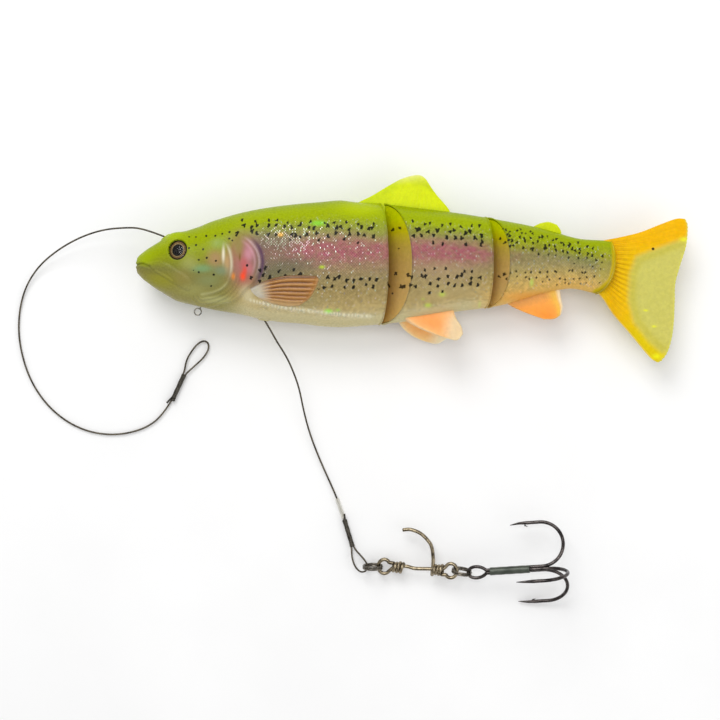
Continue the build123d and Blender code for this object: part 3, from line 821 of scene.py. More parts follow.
# The pin lies along X from the centre of its left eye, before it is raised and turned; angles in degrees
PIN_LEFT = (-10.1, -109.3, 3.4)
PIN_LENGTH = 24.6  # between the centres of its eyes
PIN_RISE = 7.2
PIN_TURN = -2.8
PIN_WIRE = 0.68  # radius
PIN_POINTS = 760
PIN_EYE = (2.26, 2.58)  # half width and half height
EYE_OPEN = math.radians(38)  # where the wire leaves each eye for the wraps
WRAP_RADIUS = 1.5
WRAP_TURNS = 3
BAR_ROUTE = [(3.2, -0.4), (5.6, 0.2), (8.2, 0.55), (11.2, 0.0), (14.8, 0.1), (18.5, 0.3), (21.6, 0.5)]
SPIKE_ROUTE = [(18.0, 2.6), (17.8, 5.2), (17.3, 7.8), (16.2, 10.0), (13.0, 12.9), (9.2, 14.2), (6.0, 13.9)]
RING_RADIUS = 3.5
RING_WIRE = 0.36  # radius
RING_POINTS = 150
# The treble lies along X from its eye, before it is raised and turned; angles in degrees
TREBLE_EYE = (20.7, -111.1, 7.65)
TREBLE_TURN = 5.0
TREBLE_RISE = 11.0
# Roll about the shank, start of the bend and length from the bend back to the point, for each prong
PRONGS = [(-14.6, 27.2, 11.0), (-142.6, 27.2, 11.0), (97.4, 28.8, 9.8)]
HOOK_WIRE = 0.65  # radius
BEND_RADIUS = 8.1
PRONG_OFFSET = 0.75  # of each prong's wire from the shank's middle
SHANK_START = 9.0
TAPER_LENGTH = 6.0
POINT_RADIUS = 0.06
BRAZE_ENDS = (7.86, 22.64)
BRAZE_RADIUS = 1.44


def turned(points, place, turn=0.0, rise=0.0, roll=0.0):
    """Points rolled about X, raised at their +X end, turned about Z and moved into place."""
    a, b, c = math.radians(roll), math.radians(-rise), math.radians(turn)
    about_x = np.array([[1, 0, 0], [0, math.cos(a), -math.sin(a)], [0, math.sin(a), math.cos(a)]])
    about_y = np.array([[math.cos(b), 0, math.sin(b)], [0, 1, 0], [-math.sin(b), 0, math.cos(b)]])
    about_z = np.array([[math.cos(c), -math.sin(c), 0], [math.sin(c), math.cos(c), 0], [0, 0, 1]])
    return np.asarray(points, float) @ (about_z @ about_y @ about_x).T + np.array(place)


def rig_piece(name, node, body, material, finish, parts):
    """One metal piece made of closed tubes, standing for its CAD node."""
    verts, faces = join_parts(parts)
    piece = add_mesh(name, verts, faces, material)
    settle(piece, body, finish, node)


def end_round(count, ends=5):
    """Factors that round off both ends of a tube."""
    cap = np.sqrt(1 - np.linspace(1, 0, ends) ** 2 * 0.96)
    factors = np.ones(count)
    factors[:ends] = cap
    factors[-ends:] = cap[::-1]
    return factors


def make_ring(name, node, centre, lean, tip):
    """A split ring: two flat coils of one wire with a short step between them."""
    angle = np.linspace(0.15, 2 * TAU - 0.15, RING_POINTS)
    step = RING_WIRE * 1.04 * (2 * smooth(angle, TAU - 0.45, TAU + 0.45) - 1)
    path = np.stack([RING_RADIUS * np.cos(angle), step, RING_RADIUS * np.sin(angle)], axis=1)
    path = turned(path, (0, 0, 0), roll=tip)
    path = turned(path, centre, turn=lean)
    tube = tube_mesh(path, RING_WIRE * end_round(RING_POINTS), 14)
    rig_piece(name, node, node, RING, "ring_steel", [tube])


def wrap_points(start, end, phase):
    """Points of a wire wound round the pin from start to end, a little unevenly."""
    share = np.linspace(0, 1, 14 * WRAP_TURNS)
    angle = phase + share * WRAP_TURNS * TAU
    reach = WRAP_RADIUS + 0.16 * np.sin(angle * 0.31)
    x = start + (end - start) * share + 0.3 * np.cos(angle)
    return np.stack([x, reach * np.cos(angle), reach * np.sin(angle)], axis=1)


def make_pin():
    """The rig's pin, bent from one wire: a wrapped eye at each end and a spike off the right wraps."""
    angle = np.linspace(EYE_OPEN, TAU - EYE_OPEN, 22)
    wide, tall = PIN_EYE
    left_eye = np.stack([wide * np.cos(angle), tall * np.sin(angle), 0.1 * np.cos(angle / 2)], axis=1)
    right_eye = left_eye[::-1] * (-1, -1, 1) + (PIN_LENGTH, 0, 0)
    bar = [(x, y, 0.0) for x, y in BAR_ROUTE]
    spike = [(x, y, 0.25) for x, y in SPIKE_ROUTE]
    path = np.concatenate([
        wrap_points(6.9, 3.0, 0.0), left_eye, bar, right_eye, wrap_points(21.7, 18.1, math.pi), spike,
    ])
    line = turned(curve_through(path, PIN_POINTS), PIN_LEFT, PIN_TURN, PIN_RISE)
    tube = tube_mesh(line, PIN_WIRE * end_round(PIN_POINTS, 3), 14)
    rig_piece("belly_pin_wire", "belly_pin", "pin", PIN, "pin_wire", [tube])


def prong_parts(roll, bend_start, point_back):
    """One prong: along the shank, round the bend and back to a tapered, barbed point."""
    angle = np.linspace(-math.pi / 2, math.pi / 2, 40)
    shank_x = np.linspace(SHANK_START, bend_start, 30)[:-1]
    bend_x = bend_start + BEND_RADIUS * np.cos(angle)
    bend_y = PRONG_OFFSET + BEND_RADIUS * (1 + np.sin(angle))
    top = PRONG_OFFSET + 2 * BEND_RADIUS
    back_x = np.linspace(bend_start, bend_start - point_back, 48)[1:]
    back_y = top - 0.5 * smooth(bend_start - back_x, 7.0, 11.5)
    x = np.concatenate([shank_x, bend_x, back_x])
    y = np.concatenate([np.full(len(shank_x), PRONG_OFFSET), bend_y, back_y])
    left = np.clip((back_x - back_x[-1]) / TAPER_LENGTH, 0, 1)
    radii = np.full(len(x), HOOK_WIRE)
    radii[-len(left):] = POINT_RADIUS + (HOOK_WIRE - POINT_RADIUS) * left**0.7
    barb_root = np.array((back_x[-1] + 5.4, top - 0.85, 0.0))
    barb_tip = np.array((back_x[-1] + 6.7, top - 1.5, 0.0))
    barb = barb_root + (barb_tip - barb_root) * np.linspace(0, 1, 8)[:, None]
    path = np.stack([x, y, np.zeros(len(x))], axis=1)
    parts = [tube_mesh(path, radii, 16), tube_mesh(barb, np.linspace(0.34, 0.03, 8), 10)]
    return [(turned(verts, (0, 0, 0), roll=roll), faces) for verts, faces in parts]


def make_treble():
    """Three prongs brazed into one shank behind a teardrop eye."""
    parts = [part for prong in PRONGS for part in prong_parts(*prong)]
    angle = np.linspace(math.radians(24), math.radians(336), 60)
    width = 2.3 * np.sin(angle) * np.sqrt(0.5 - 0.5 * np.cos(angle)) ** 0.35
    loop = np.stack([3.4 + 3.5 * np.cos(angle), width, 0.05 * np.cos(angle)], axis=1)
    tails = [(8.4, 0.62, 0.05), (11.0, 0.6, 0.05)]
    loop = np.concatenate([np.array(tails[::-1]), loop, np.array(tails) * (1, -1, 1)])
    line = curve_through(loop, 160)
    parts.append(tube_mesh(line, HOOK_WIRE * 0.95, 16))
    x = np.linspace(20.5, 25.0, 24)
    parts.append(tube_mesh(x[:, None] * (1, 0, 0), 1.1 * np.clip((25.1 - x) / 2.6, 0.1, 1) ** 0.5, 20))
    placed = [(turned(verts, TREBLE_EYE, TREBLE_TURN, TREBLE_RISE), faces) for verts, faces in parts]
    rig_piece("treble_hook_wire", "treble_hook", "treble", HOOK, "hook_steel", placed)

    low, high = BRAZE_ENDS
    x = np.linspace(low + 0.04, high - 0.04, 60)
    lip = np.clip(np.minimum(x - low, high - x) / 0.3, 0.0, 1)
    radii = (BRAZE_RADIUS + 0.03 * np.sin(x * 1.7)) * (0.8 + 0.2 * lip**0.5)
    braze, faces = tube_mesh(x[:, None] * (1, 0, 0), radii, 28)
    braze = turned(braze, TREBLE_EYE, TREBLE_TURN, TREBLE_RISE)
    cover = add_mesh("treble_shank_braze", braze, faces, BRAZE)
    settle(cover, "treble", "hook_steel")


def assign(material, *nodes):
    """Gives carried-over CAD nodes a finished material."""
    for node in nodes:
        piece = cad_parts[node]
        piece.data.materials.clear()
        piece.data.materials.append(material)


make_ring("leader_ring_wire", "leader_ring", (-14.35, -109.4, 3.95), 0.0, 6.0)
make_ring("hook_ring_wire", "hook_ring", (18.3, -110.7, 7.1), -8.0, 11.0)
make_pin()
make_treble()
assign(TUBE, "line_tube")
assign(FABRIC, "front_harness", "mid_harness", "rear_harness")
assign(LEAD, "ballast_weight")


# ---------------------------------------------------------------- the fish's skin
FRONT_JOINT_X = -11.8
REAR_JOINT_X = 26.7
TAIL_JOINT_X = 70.3
HALF_GAP = 0.45
NOTCH_SLOPE = math.tan(math.radians(14.0))
NOSE_SLOPE = math.tan(math.radians(40.0))
SNOUT_X = -100.2
STALK_FACE = (62.0, 0.0)  # flat, inside the root of the tail fin
FIRST_SEED = 11
COLUMNS = 320
RIM = 0.45  # radius of the rounded edges at the joints
# Sizes of an end face's rings, as shares of its outline
FACE_SHARES = np.concatenate([[0.99, 0.975], np.arange(0.955, 0.5, -0.025), [0.47, 0.4, 0.32, 0.2, 0.08]])
TURNS = np.arange(COLUMNS) / COLUMNS * TAU - math.pi / 2
MOUTHS = np.array([HEAD_MOUTH, BELLY_MOUTH]) / MM - (0, 0, MID)  # of the line tube
BROW = np.array([-85.3, 12.6, 5.4])  # middle of the swelling over each eye
BROW_SIZE = (3.6, 1.6, 3.2)
HEAD_BACK = -53.0  # the head's relief ends here

# Rows of printed spots: from x, to x, from y, to y, spacing, size
SPOT_ROWS = [
    (-62.0, -12.5, 17.2, 15.6, 4.0, 0.8), (-63.0, -12.0, 14.9, 13.8, 3.0, 1.0),
    (-63.5, -12.0, 12.4, 11.2, 3.3, 1.0), (-50.0, -14.0, 10.2, 9.2, 6.5, 0.8),
    (-57.0, -38.0, -0.6, -1.8, 3.8, 0.9), (-58.5, -38.0, -3.2, -3.6, 3.4, 1.0),
    (-56.0, -50.0, -5.6, -5.8, 3.0, 0.9), (-35.0, -12.0, -3.6, -4.6, 2.4, 1.05),
    (-34.0, -12.0, -6.6, -6.6, 3.2, 0.9), (-36.0, -30.0, -7.9, -8.4, 2.8, 0.6),
    (-2.0, 25.0, 16.4, 14.4, 3.2, 0.8), (-1.5, 26.0, 14.2, 12.0, 2.9, 1.05),
    (-1.0, 26.0, 11.8, 9.8, 3.3, 1.05), (3.0, 26.0, 9.2, 7.4, 5.0, 0.9), (2.0, 24.0, -0.6, -1.4, 4.4, 0.8),
    (-2.5, 26.0, -3.6, -3.2, 3.0, 0.95), (-3.0, 25.0, -6.4, -5.8, 2.9, 0.95),
    (2.0, 12.0, -8.6, -8.4, 4.5, 0.8), (33.0, 50.0, 14.0, 11.6, 2.3, 0.6),
    (32.0, 60.0, 12.3, 8.9, 2.2, 0.72), (32.5, 66.0, 10.2, 7.0, 2.1, 0.75),
    (33.0, 69.0, 8.2, 4.6, 2.3, 0.72), (40.0, 70.0, 5.8, 2.4, 3.2, 0.6), (56.0, 70.0, 1.6, 0.0, 3.0, 0.5),
    (34.0, 64.0, -1.4, -1.4, 2.5, 0.6), (33.0, 67.0, -3.6, -3.4, 2.5, 0.6),
    (46.0, 68.0, -5.4, -4.8, 2.9, 0.5), (30.0, 44.0, 14.9, 13.4, 2.6, 0.55),
    (-9.4, -2.6, 13.4, 14.8, 2.3, 0.9), (-7.8, -0.4, -2.0, -2.6, 2.5, 0.95),
    (-9.4, -1.2, -6.1, -6.9, 2.7, 0.95), (30.0, 33.6, 12.0, 8.0, 1.6, 0.8),
    (29.6, 33.6, -2.0, -2.6, 2.0, 0.75),
]
# Round dots of the head, and the few that show on the olive faces at the joints: x, y, radius
DOTS = [
    (-80.2, 7.0, 0.42), (-77.7, 8.1, 0.45), (-75.1, 6.5, 0.42), (-76.6, 2.7, 0.40), (-73.7, 3.4, 0.45),
    (-70.4, 2.3, 0.42), (-76.6, -1.7, 0.42), (-71.2, -2.6, 0.46), (-72.2, -6.6, 0.38), (-59.2, 0.6, 0.5),
    (-70.8, 11.4, 0.42), (-74.1, 11.4, 0.45), (-68.3, 12.1, 0.40), (-65.7, 12.7, 0.46), (-65.7, 10.3, 0.44),
    (-64.6, 9.6, 0.38), (-63.2, 11.4, 0.46), (-77.9, 11.1, 0.36), (-80.4, 11.2, 0.34), (-78.5, -1.0, 0.26),
    (-5.2, 7.0, 0.34), (-7.4, -9.0, 0.4), (33.2, 9.2, 0.4),
]

SPOT_REACH = 2.6  # no spot is larger than this
STROKE_TURNS = (2.05, 0.75, 1.4)  # of the two or three strokes that make a spot, in radians

# Painted patches: x, y, half length, half height, colour, strength
# Painted glints: the red-orange patches at (-60.7, -3.2), (-60.0, -1.2) and (-64.2, -3.2), the teal one at
# (-75.4, -0.4) and the small ones at (-47.4, 11.6), (-34.0, 15.8) and (-32.6, 0.0).
# Painted highlights: the lime over the crown at (-87.0, 12.2) and over the back at (-19.0, 22.0), the pale
# ones on the folds at (-59.4, -9.4) and (-71.0, -11.4), and the white streak on the cheek's ridge at (-67.7,
# 4.6).
# Painted shade: the patch behind the gill cover at (-54.6, 3.0) and the dark streak in a crease of it at
# (-61.8, 3.6).
PATCHES = [
    (-60.5, 2.5, 5.5, 8.5, (172, 104, 106), 0.85), (-58.4, 6.2, 2.0, 3.4, (176, 122, 124), 0.6),
    (-59.8, -4.4, 3.0, 3.0, (166, 84, 78), 0.5), (-60.7, -3.2, 1.0, 1.5, (250, 80, 44), 1.0),
    (-60.0, -1.2, 0.9, 1.7, (236, 74, 52), 0.85), (-64.2, -3.2, 0.7, 1.2, (230, 140, 56), 0.8),
    (-66.4, 1.4, 0.9, 3.2, (206, 168, 120), 0.6), (-70.6, 3.2, 3.2, 3.2, (176, 134, 104), 0.7),
    (-75.4, -0.4, 3.8, 1.5, (118, 168, 122), 0.6), (-68.4, -1.2, 2.8, 1.8, (124, 150, 122), 0.55),
    (-75.0, -5.6, 6.5, 3.6, (132, 128, 78), 0.5), (-69.6, 8.6, 2.6, 2.0, (150, 172, 96), 0.6),
    (-62.2, 7.6, 1.8, 4.4, (142, 132, 60), 0.75), (-80.0, 1.6, 3.4, 2.6, (168, 170, 104), 0.5),
    (-73.0, -4.6, 4.4, 2.2, (134, 146, 96), 0.5), (-96.5, 3.8, 3.6, 2.6, (156, 174, 0), 0.7),
    (-91.5, -4.6, 7.0, 3.0, (152, 150, 30), 0.6), (-82.6, -3.4, 3.4, 2.8, (146, 134, 72), 0.6),
    (-87.0, 12.2, 4.4, 1.7, (176, 200, 0), 0.5), (-49.0, 8.6, 8.0, 4.8, (106, 98, 76), 0.7),
    (-45.0, 0.6, 11.0, 3.4, (98, 96, 74), 0.7), (-47.4, 11.6, 1.1, 0.8, (228, 170, 60), 0.8),
    (-34.0, 15.8, 2.8, 1.0, (132, 228, 60), 0.65), (-32.6, 0.0, 1.0, 0.6, (190, 220, 40), 0.8),
    (-30.4, -15.6, 1.5, 0.8, (150, 235, 50), 0.85), (-27.0, -15.2, 0.8, 0.6, (170, 220, 70), 0.6),
    (10.3, -9.5, 1.3, 0.9, (196, 222, 74), 0.85), (5.3, -13.4, 1.3, 0.8, (190, 216, 72), 0.75),
    (3.4, -11.2, 0.7, 0.4, (200, 214, 96), 0.6), (42.6, -5.2, 0.7, 1.5, (190, 214, 96), 0.8),
    (24.0, -13.0, 0.5, 1.4, (206, 212, 120), 0.7), (-12.5, 13.5, 5.0, 4.0, (150, 166, 40), 0.35),
    (-50.0, -2.6, 7.0, 2.6, (98, 100, 76), 0.55), (-54.6, 3.0, 3.2, 8.0, (108, 90, 84), 0.5),
    (-40.0, -12.0, 8.0, 2.4, (140, 142, 104), 0.35), (69.0, 0.0, 2.6, 7.0, (176, 164, 60), 0.5),
    (10.0, -1.6, 11.0, 3.6, (190, 160, 124), 0.35), (12.0, -8.0, 12.0, 3.4, (184, 166, 116), 0.4),
    (-19.0, 22.0, 8.0, 3.4, (196, 214, 0), 0.45), (-59.4, -9.4, 2.6, 3.2, (222, 216, 176), 0.5),
    (-71.0, -11.4, 6.0, 1.4, (192, 192, 136), 0.5), (-58.6, 4.6, 1.6, 2.4, (214, 150, 166), 0.55),
    (-60.4, 1.4, 1.4, 2.0, (200, 92, 96), 0.5), (-58.2, -0.6, 1.3, 2.2, (206, 120, 132), 0.5),
    (-61.8, 3.6, 0.35, 1.4, (110, 84, 20), 0.8), (41.0, -10.4, 9.0, 2.0, (238, 158, 60), 0.6),
    (-67.7, 4.6, 0.55, 3.0, (240, 232, 206), 0.8), (-79.0, -8.0, 5.0, 2.2, (168, 166, 100), 0.45),
]
# Colours of the painted lines; the highlight and glint tones are painted light and the shade and shadow tones
# painted shade
CHEEK_HIGHLIGHT_TONE = (232, 230, 196)
FOLD_HIGHLIGHT_TONE = (210, 208, 150)
BEAD_GLINT_TONE = (240, 236, 208)
GILL_RIM_HIGHLIGHT_TONE = (236, 206, 208)
GILL_FLUSH_TONE = (220, 168, 176)
GILL_SHADOW_TONE = (76, 44, 92)
MOUTH_SHADE_TONE = (104, 104, 16)
STALK_TONE = (200, 172, 0)
STALK_EDGE_TONE = (166, 146, 0)
EYE_PIT_SHADE_TONE = (20, 18, 12)
# The edge of the rear segment's flesh over the root of the tail fin
STALK_END = curve_through([
    (73.4, 14.0), (74.0, 7.0), (73.9, 2.8), (73.4, -0.7), (72.2, -4.9), (70.2, -6.9), (68.3, -8.5),
    (66.9, -9.1),
], 40)


def spot_distance(x, y, draw):
    """Distance in millimetres to the edge of the nearest printed spot, negative inside."""
    best = np.full(x.shape, 1.0)

    def add(centre_x, centre_y, angle, half, radius):
        near = (np.abs(x - centre_x) < SPOT_REACH) & (np.abs(y - centre_y) < SPOT_REACH)
        if not near.any():
            return
        dx, dy = math.cos(angle), math.sin(angle)
        gap_x, gap_y = x[near] - centre_x, y[near] - centre_y
        t = np.clip(gap_x * dx + gap_y * dy, -half, half)
        best[near] = np.minimum(best[near], np.hypot(gap_x - t * dx, gap_y - t * dy) - radius)

    for x_from, x_to, y_from, y_to, spacing, size in SPOT_ROWS:
        count = max(int((x_to - x_from) / spacing), 1)
        for i in range(count):
            share = (i + 0.5) / count
            centre_x = x_from + (x_to - x_from) * share + draw.uniform(-0.42, 0.42) * spacing
            centre_y = y_from + (y_to - y_from) * share + draw.uniform(-0.75, 0.75)
            lean = draw.uniform(-0.5, 0.5)
            for stroke in range(draw.integers(2, 4)):
                angle = lean + STROKE_TURNS[stroke]
                aside = draw.uniform(-0.28, 0.28, 2) * size
                half = draw.uniform(0.30, 0.68) * size
                add(centre_x + aside[0], centre_y + aside[1], angle, half, 0.30 * size)
    for centre_x, centre_y, radius in DOTS:
        add(centre_x, centre_y, draw.uniform(0, math.pi), 0.2 * radius, 0.85 * radius)
    return best


def painted(x, y, face):
    """Colour and cover of the painted patches, laid over each other in order."""
    colour = np.zeros((*x.shape, 3))
    cover = np.zeros(x.shape)

    def lay(shade, share):
        nonlocal colour, cover
        under = cover * (1 - share)
        cover = share + under
        mixed = np.array(srgb(*shade)) * share[..., None] + colour * under[..., None]
        colour = mixed / np.maximum(cover, 1e-6)[..., None]

    for centre_x, centre_y, half_x, half_y, shade, strength in PATCHES:
        away = ((x - centre_x) / half_x) ** 2 + ((y - centre_y) / half_y) ** 2
        lay(shade, strength * np.exp(-(away**1.3)))
    gap, side, along = line_distance(x, y, CHEEK_EDGE)
    middle = smooth(along, 0.08, 0.25) * falling(along, 0.4, 0.62)
    # Painted highlights along the cheek's ridge and on the folds below it.
    lay(CHEEK_HIGHLIGHT_TONE, 0.6 * hill(gap * side, -0.3, 0.45) * middle)
    lay(FOLD_HIGHLIGHT_TONE, 0.35 * hill(gap * side, -0.3, 0.5) * smooth(along, 0.55, 0.7))
    gap, _, along = line_distance(x, y, BEAD_LINE)
    # The bead row's painted glints, stronger and fainter along the row.
    grain = 0.5 + 0.5 * np.cos(TAU * x / 1.3 + 1.7 * np.sin(x * 0.9))
    ends = smooth(along, 0.0, 0.08) * falling(along, 0.95, 1.0)
    lay(BEAD_GLINT_TONE, ends * (0.25 * hill(gap, 0, 1.0) + 0.6 * hill(gap, 0, 0.5) * grain**2))
    gap, side, along = line_distance(x, y, GILL_EDGE)
    rim = smooth(along, 0.08, 0.2) * falling(along, 0.4, 0.62)
    # Painted highlight along the gill cover's rim.
    lay(GILL_RIM_HIGHLIGHT_TONE, 0.5 * hill(gap * side, -0.25, 0.35) * rim)
    lay(GILL_FLUSH_TONE, 0.4 * hill(gap * side, -1.9, 0.45) * rim)
    shadow = hill(gap * side, 0.85, 0.7) * smooth(along, 0.12, 0.3) * falling(along, 0.5, 0.7)
    lay(GILL_SHADOW_TONE, 0.66 * shadow)
    gap = line_distance(x, y, MOUTH_LINE)[0]
    # Painted shade along the mouth line.
    lay(MOUTH_SHADE_TONE, 0.35 * hill(gap, 0, 0.3))
    gap, _, along = line_distance(x, y, STALK_END)
    lay(STALK_TONE, 0.95 * falling(gap, 1.5, 2.6))
    lay(STALK_EDGE_TONE, 0.7 * hill(gap, 0.3, 0.5) + 0.5 * smooth(along, 0.5, 0.8) * falling(gap, 1.1, 1.7))
    pit = np.hypot((x - EYE[0]) / EYE_SIZE[0], (y - EYE[1]) / EYE_SIZE[1])
    # Painted shade in the eye's socket.
    lay(EYE_PIT_SHADE_TONE, falling(pit, 1.03, 1.10))
    cover = np.where(face, 0, cover)
    return np.concatenate([colour, cover[..., None]], axis=-1)


def arc_lengths(x, turn):
    """Signed length over the skin from the widest line, growing towards the back on both flanks."""
    y, z = section_point(x, turn)
    steps = np.hypot(np.diff(y, axis=1, append=y[:, :1]), np.diff(z, axis=1, append=z[:, :1]))
    half = turn.shape[1] // 2
    run = np.cumsum(steps, axis=1)
    run = np.concatenate([np.zeros((len(run), 1)), run[:, :-1]], axis=1)
    mirrored = np.where(np.arange(turn.shape[1])[None] <= half, run, run[:, half][:, None] * 2 - run)
    quarter = mirrored[:, half // 2][:, None]
    return mirrored - quarter


def face_edge(apex, slope):
    """Where a V-shaped face at a joint meets the skin, for each turn."""
    x = np.full(TURNS.shape, apex)
    for _ in range(12):
        x = apex + np.abs(section_point(x, TURNS)[1]) * slope
    return x


def face_rings(rim, apex, slope, shares):
    """Rings of a V-shaped end face: the skin's last ring drawn in towards its middle."""
    middle = np.array([0.0, (rim[:, 1].max() + rim[:, 1].min()) / 2, 0.0])
    slack = rim[:, 0] - (apex + np.abs(rim[:, 2]) * slope)
    rings = []
    for share in shares:
        ring = middle + (rim - middle) * share
        ring[:, 0] = apex + np.abs(ring[:, 2]) * slope + slack * share**6
        rings.append(ring)
    return np.stack(rings)


def skin_segment(name, start, end, shares, start_face, end_face, seed):
    """One moulded segment: displaced skin between two edges, rounded into its end faces.

    A face is the x of its apex and its slope; the front segment has none at its snout.
    """
    lift = RIM * (1 - np.sin(np.linspace(math.pi / 2, 0, 5)[:-1]))
    low = start if start_face is None else start + RIM * 1.2
    high = end - RIM * 1.2
    before = [] if start_face is None else [start + away for away in lift[::-1]]
    x = np.array(before + [low + (high - low) * share for share in shares] + [end - away for away in lift])
    turn = np.broadcast_to(TURNS, x.shape)
    y, z = section_point(x, turn)
    place = np.stack([x, y, z], axis=-1)
    lengthways = np.gradient(place, axis=0)
    sideways = np.roll(place, -1, axis=1) - np.roll(place, 1, axis=1)
    normal = unit(np.cross(lengthways, sideways))
    out = np.where(x < HEAD_BACK, head_relief(x, y), 0) + body_relief(x, y)
    for mouth in MOUTHS:
        away = np.linalg.norm(place - mouth, axis=-1)
        out += 0.45 * hill(away, 1.5, 0.6) - 1.2 * falling(away, 0.75, 1.15)
    brow = np.linalg.norm((np.stack([x, y, np.abs(z)], axis=-1) - BROW) / BROW_SIZE, axis=-1)
    out += 0.75 * np.exp(-(brow**2))
    for edge in [end] if start_face is None else [start, end]:
        away = np.clip(RIM - np.abs(x - edge), 0, RIM)
        out -= RIM - np.sqrt(RIM**2 - away**2)
    place = place + normal * out[..., None]

    arc = arc_lengths(x, turn)
    behind = face_rings(place[-1], *end_face, FACE_SHARES)
    rings, arcs = [place, behind], [arc, np.broadcast_to(arc[-1], behind.shape[:2])]
    flags = [np.zeros(x.shape), np.ones(behind.shape[:2])]
    if start_face is not None:
        ahead = face_rings(place[0], *start_face, FACE_SHARES[::-1])
        rings.insert(0, ahead)
        arcs.insert(0, np.broadcast_to(arc[0], ahead.shape[:2]))
        flags.insert(0, np.ones(ahead.shape[:2]))
    place, arc, flag = np.concatenate(rings), np.concatenate(arcs), np.concatenate(flags)
    x, y = place[..., 0], place[..., 1]

    tone = (y - belly_at(x)) / (back_at(x) - belly_at(x))
    flank = smooth(x, -56.5, HEAD_BACK) * falling(tone, 0.80, 0.90) * smooth(tone, 0.05, 0.10)
    beads = hill(line_distance(x, y, BEAD_LINE)[0], 0, 0.8)
    values = {
        "along": x, "arc": arc, "tone": np.clip(tone, 0, 1), "band": flag,
        "stripe": stripe_at(x, tone) * (1 - flag), "scaled": flank * (1 - flag),
        # Where the scales' painted glints show most: over the shoulder and along the bead row.
        "flash": 0.12 + 1.2 * hill(x, -46.0, 11.0) * hill(tone, 0.67, 0.10) + 0.8 * beads,
        "spot": spot_distance(x, y, np.random.default_rng(seed)),
        "paint": painted(x, y, flag > 0.5),
    }
    count = len(place)
    verts = place.reshape(-1, 3) + (0, 0, MID)
    faces = grid_faces(count, COLUMNS, True) + end_caps(count, COLUMNS, flipped=True)
    flat = {key: data.reshape(-1, *data.shape[2:]) for key, data in values.items()}
    return add_mesh(name, verts, faces, SKIN, flat)


def stripe_at(x, tone):
    """Strength of the pink stripe along the flank."""
    along = np.interp(
        x, [-62.0, -54.0, -44.0, -34.0, -14.0, -4.0, 2.0, 22.0, 30.0, 42.0, 60.0],
        [0.0, 0.4, 0.85, 1.1, 0.95, 0.85, 1.15, 1.1, 0.45, 0.2, 0.0],
    )
    middle = np.interp(x, [-60.0, -30.0, 0.0, 26.0, 60.0], [0.59, 0.58, 0.60, 0.565, 0.57])
    return np.clip(along * hill(tone, middle, 0.105), 0, 1)


def make_skins():
    """The three moulded segments: V-shaped noses face V-shaped notches, and the stalk has a round end."""
    # Places of the front segment's rings behind the snout, close together at the snout and over the head
    snout = np.array([0, 0.03, 0.08, 0.15, 0.25, 0.4, 0.6, 0.85, 1.15])
    head = np.arange(1.45, 47.0, 0.3)
    flank = np.arange(47.2, 89.6, 0.42)
    front_shares = np.concatenate([snout, head, flank, [90.0]]) / 90.0
    notches = [(joint_x - HALF_GAP, NOTCH_SLOPE) for joint_x in (FRONT_JOINT_X, REAR_JOINT_X)]
    noses = [(joint_x + HALF_GAP, NOSE_SLOPE) for joint_x in (FRONT_JOINT_X, REAR_JOINT_X)]
    snout_edge = np.full(TURNS.shape, SNOUT_X)
    y = section_point(np.full(TURNS.shape, TAIL_JOINT_X - 0.3), TURNS)[0]
    stalk_edge = 66.4 + 6.9 * np.sqrt(np.clip(1 - ((y - 3.6) / 13.4) ** 2, 0, 1)) ** 1.4
    segments = [
        ("front", snout_edge, face_edge(*notches[0]), front_shares, None, notches[0]),
        ("mid", face_edge(*noses[0]), face_edge(*notches[1]), np.linspace(0, 1, 86), noses[0], notches[1]),
        ("rear", face_edge(*noses[1]), stalk_edge, np.linspace(0, 1, 110), noses[1], STALK_FACE),
    ]
    for seed, (body, *form) in enumerate(segments, FIRST_SEED):
        settle(skin_segment(f"{body}_skin", *form, seed), body, "soft_body", f"{body}_body")


make_skins()


# ---------------------------------------------------------------- fins
def fin_material(name, roughness=0.3, ray_share=0.16, **constants):
    """Soft moulded fin: painted colour, ray streaks, mottling and fine ribs."""
    g = Graph(name, Subsurface_Weight=0.25, Subsurface_Scale=0.002, Specular_IOR_Level=0.14, **constants)
    g.shader.inputs["Subsurface Radius"].default_value = (1.0, 0.8, 0.3)
    paint, _ = g.colour("paint")
    ray, out, rayed = g.value("ray"), g.value("out"), g.value("rayed")
    place = g.place()
    wander = g.times(g.noise(place, 160.0, 3.0), 0.8)
    wave = g.math("SINE", g.times(g.plus(ray, wander), TAU))
    streak = g.step(wave, -1.0, 1.0, 1.0 - ray_share, 1.0 + 0.4 * ray_share)
    stretched = g.combine(g.times(ray, 1.6), g.times(out, 5.0))
    broken = g.times(g.step(g.noise(stretched, 1.0, 4.0), 0.35, 0.7), rayed)
    streak = g.plus(g.times(g.minus(streak, 1.0), broken), 1.0)
    mottle = g.step(g.noise(place, 700.0, 4.0, 0.65), 0.3, 0.75, 0.93, 1.05)
    g.set("Base Color", g.shaded(paint, g.times(streak, mottle)))
    g.set("Roughness", g.step(g.noise(place, 300.0, 3.0), 0.3, 0.7, roughness * 0.8, roughness * 1.3))
    fine = g.noise(place, 2200.0, 4.0)
    g.set("Normal", g.bump(g.times(wave, rayed), 0.03, 0.4, g.bump(fine, 0.02, 0.4)))
    return g.material


DORSAL_SKIN = fin_material("dorsal_skin", 0.3, 0.09)
TAIL_SKIN = fin_material("tail_skin", 0.26, 0.22)
BELLY_FIN_SKIN = fin_material("belly_fin_skin", 0.3, 0.12)
PECTORAL_SKIN = fin_material("pectoral_skin", 0.26, 0.2, Coat_Weight=0.3)


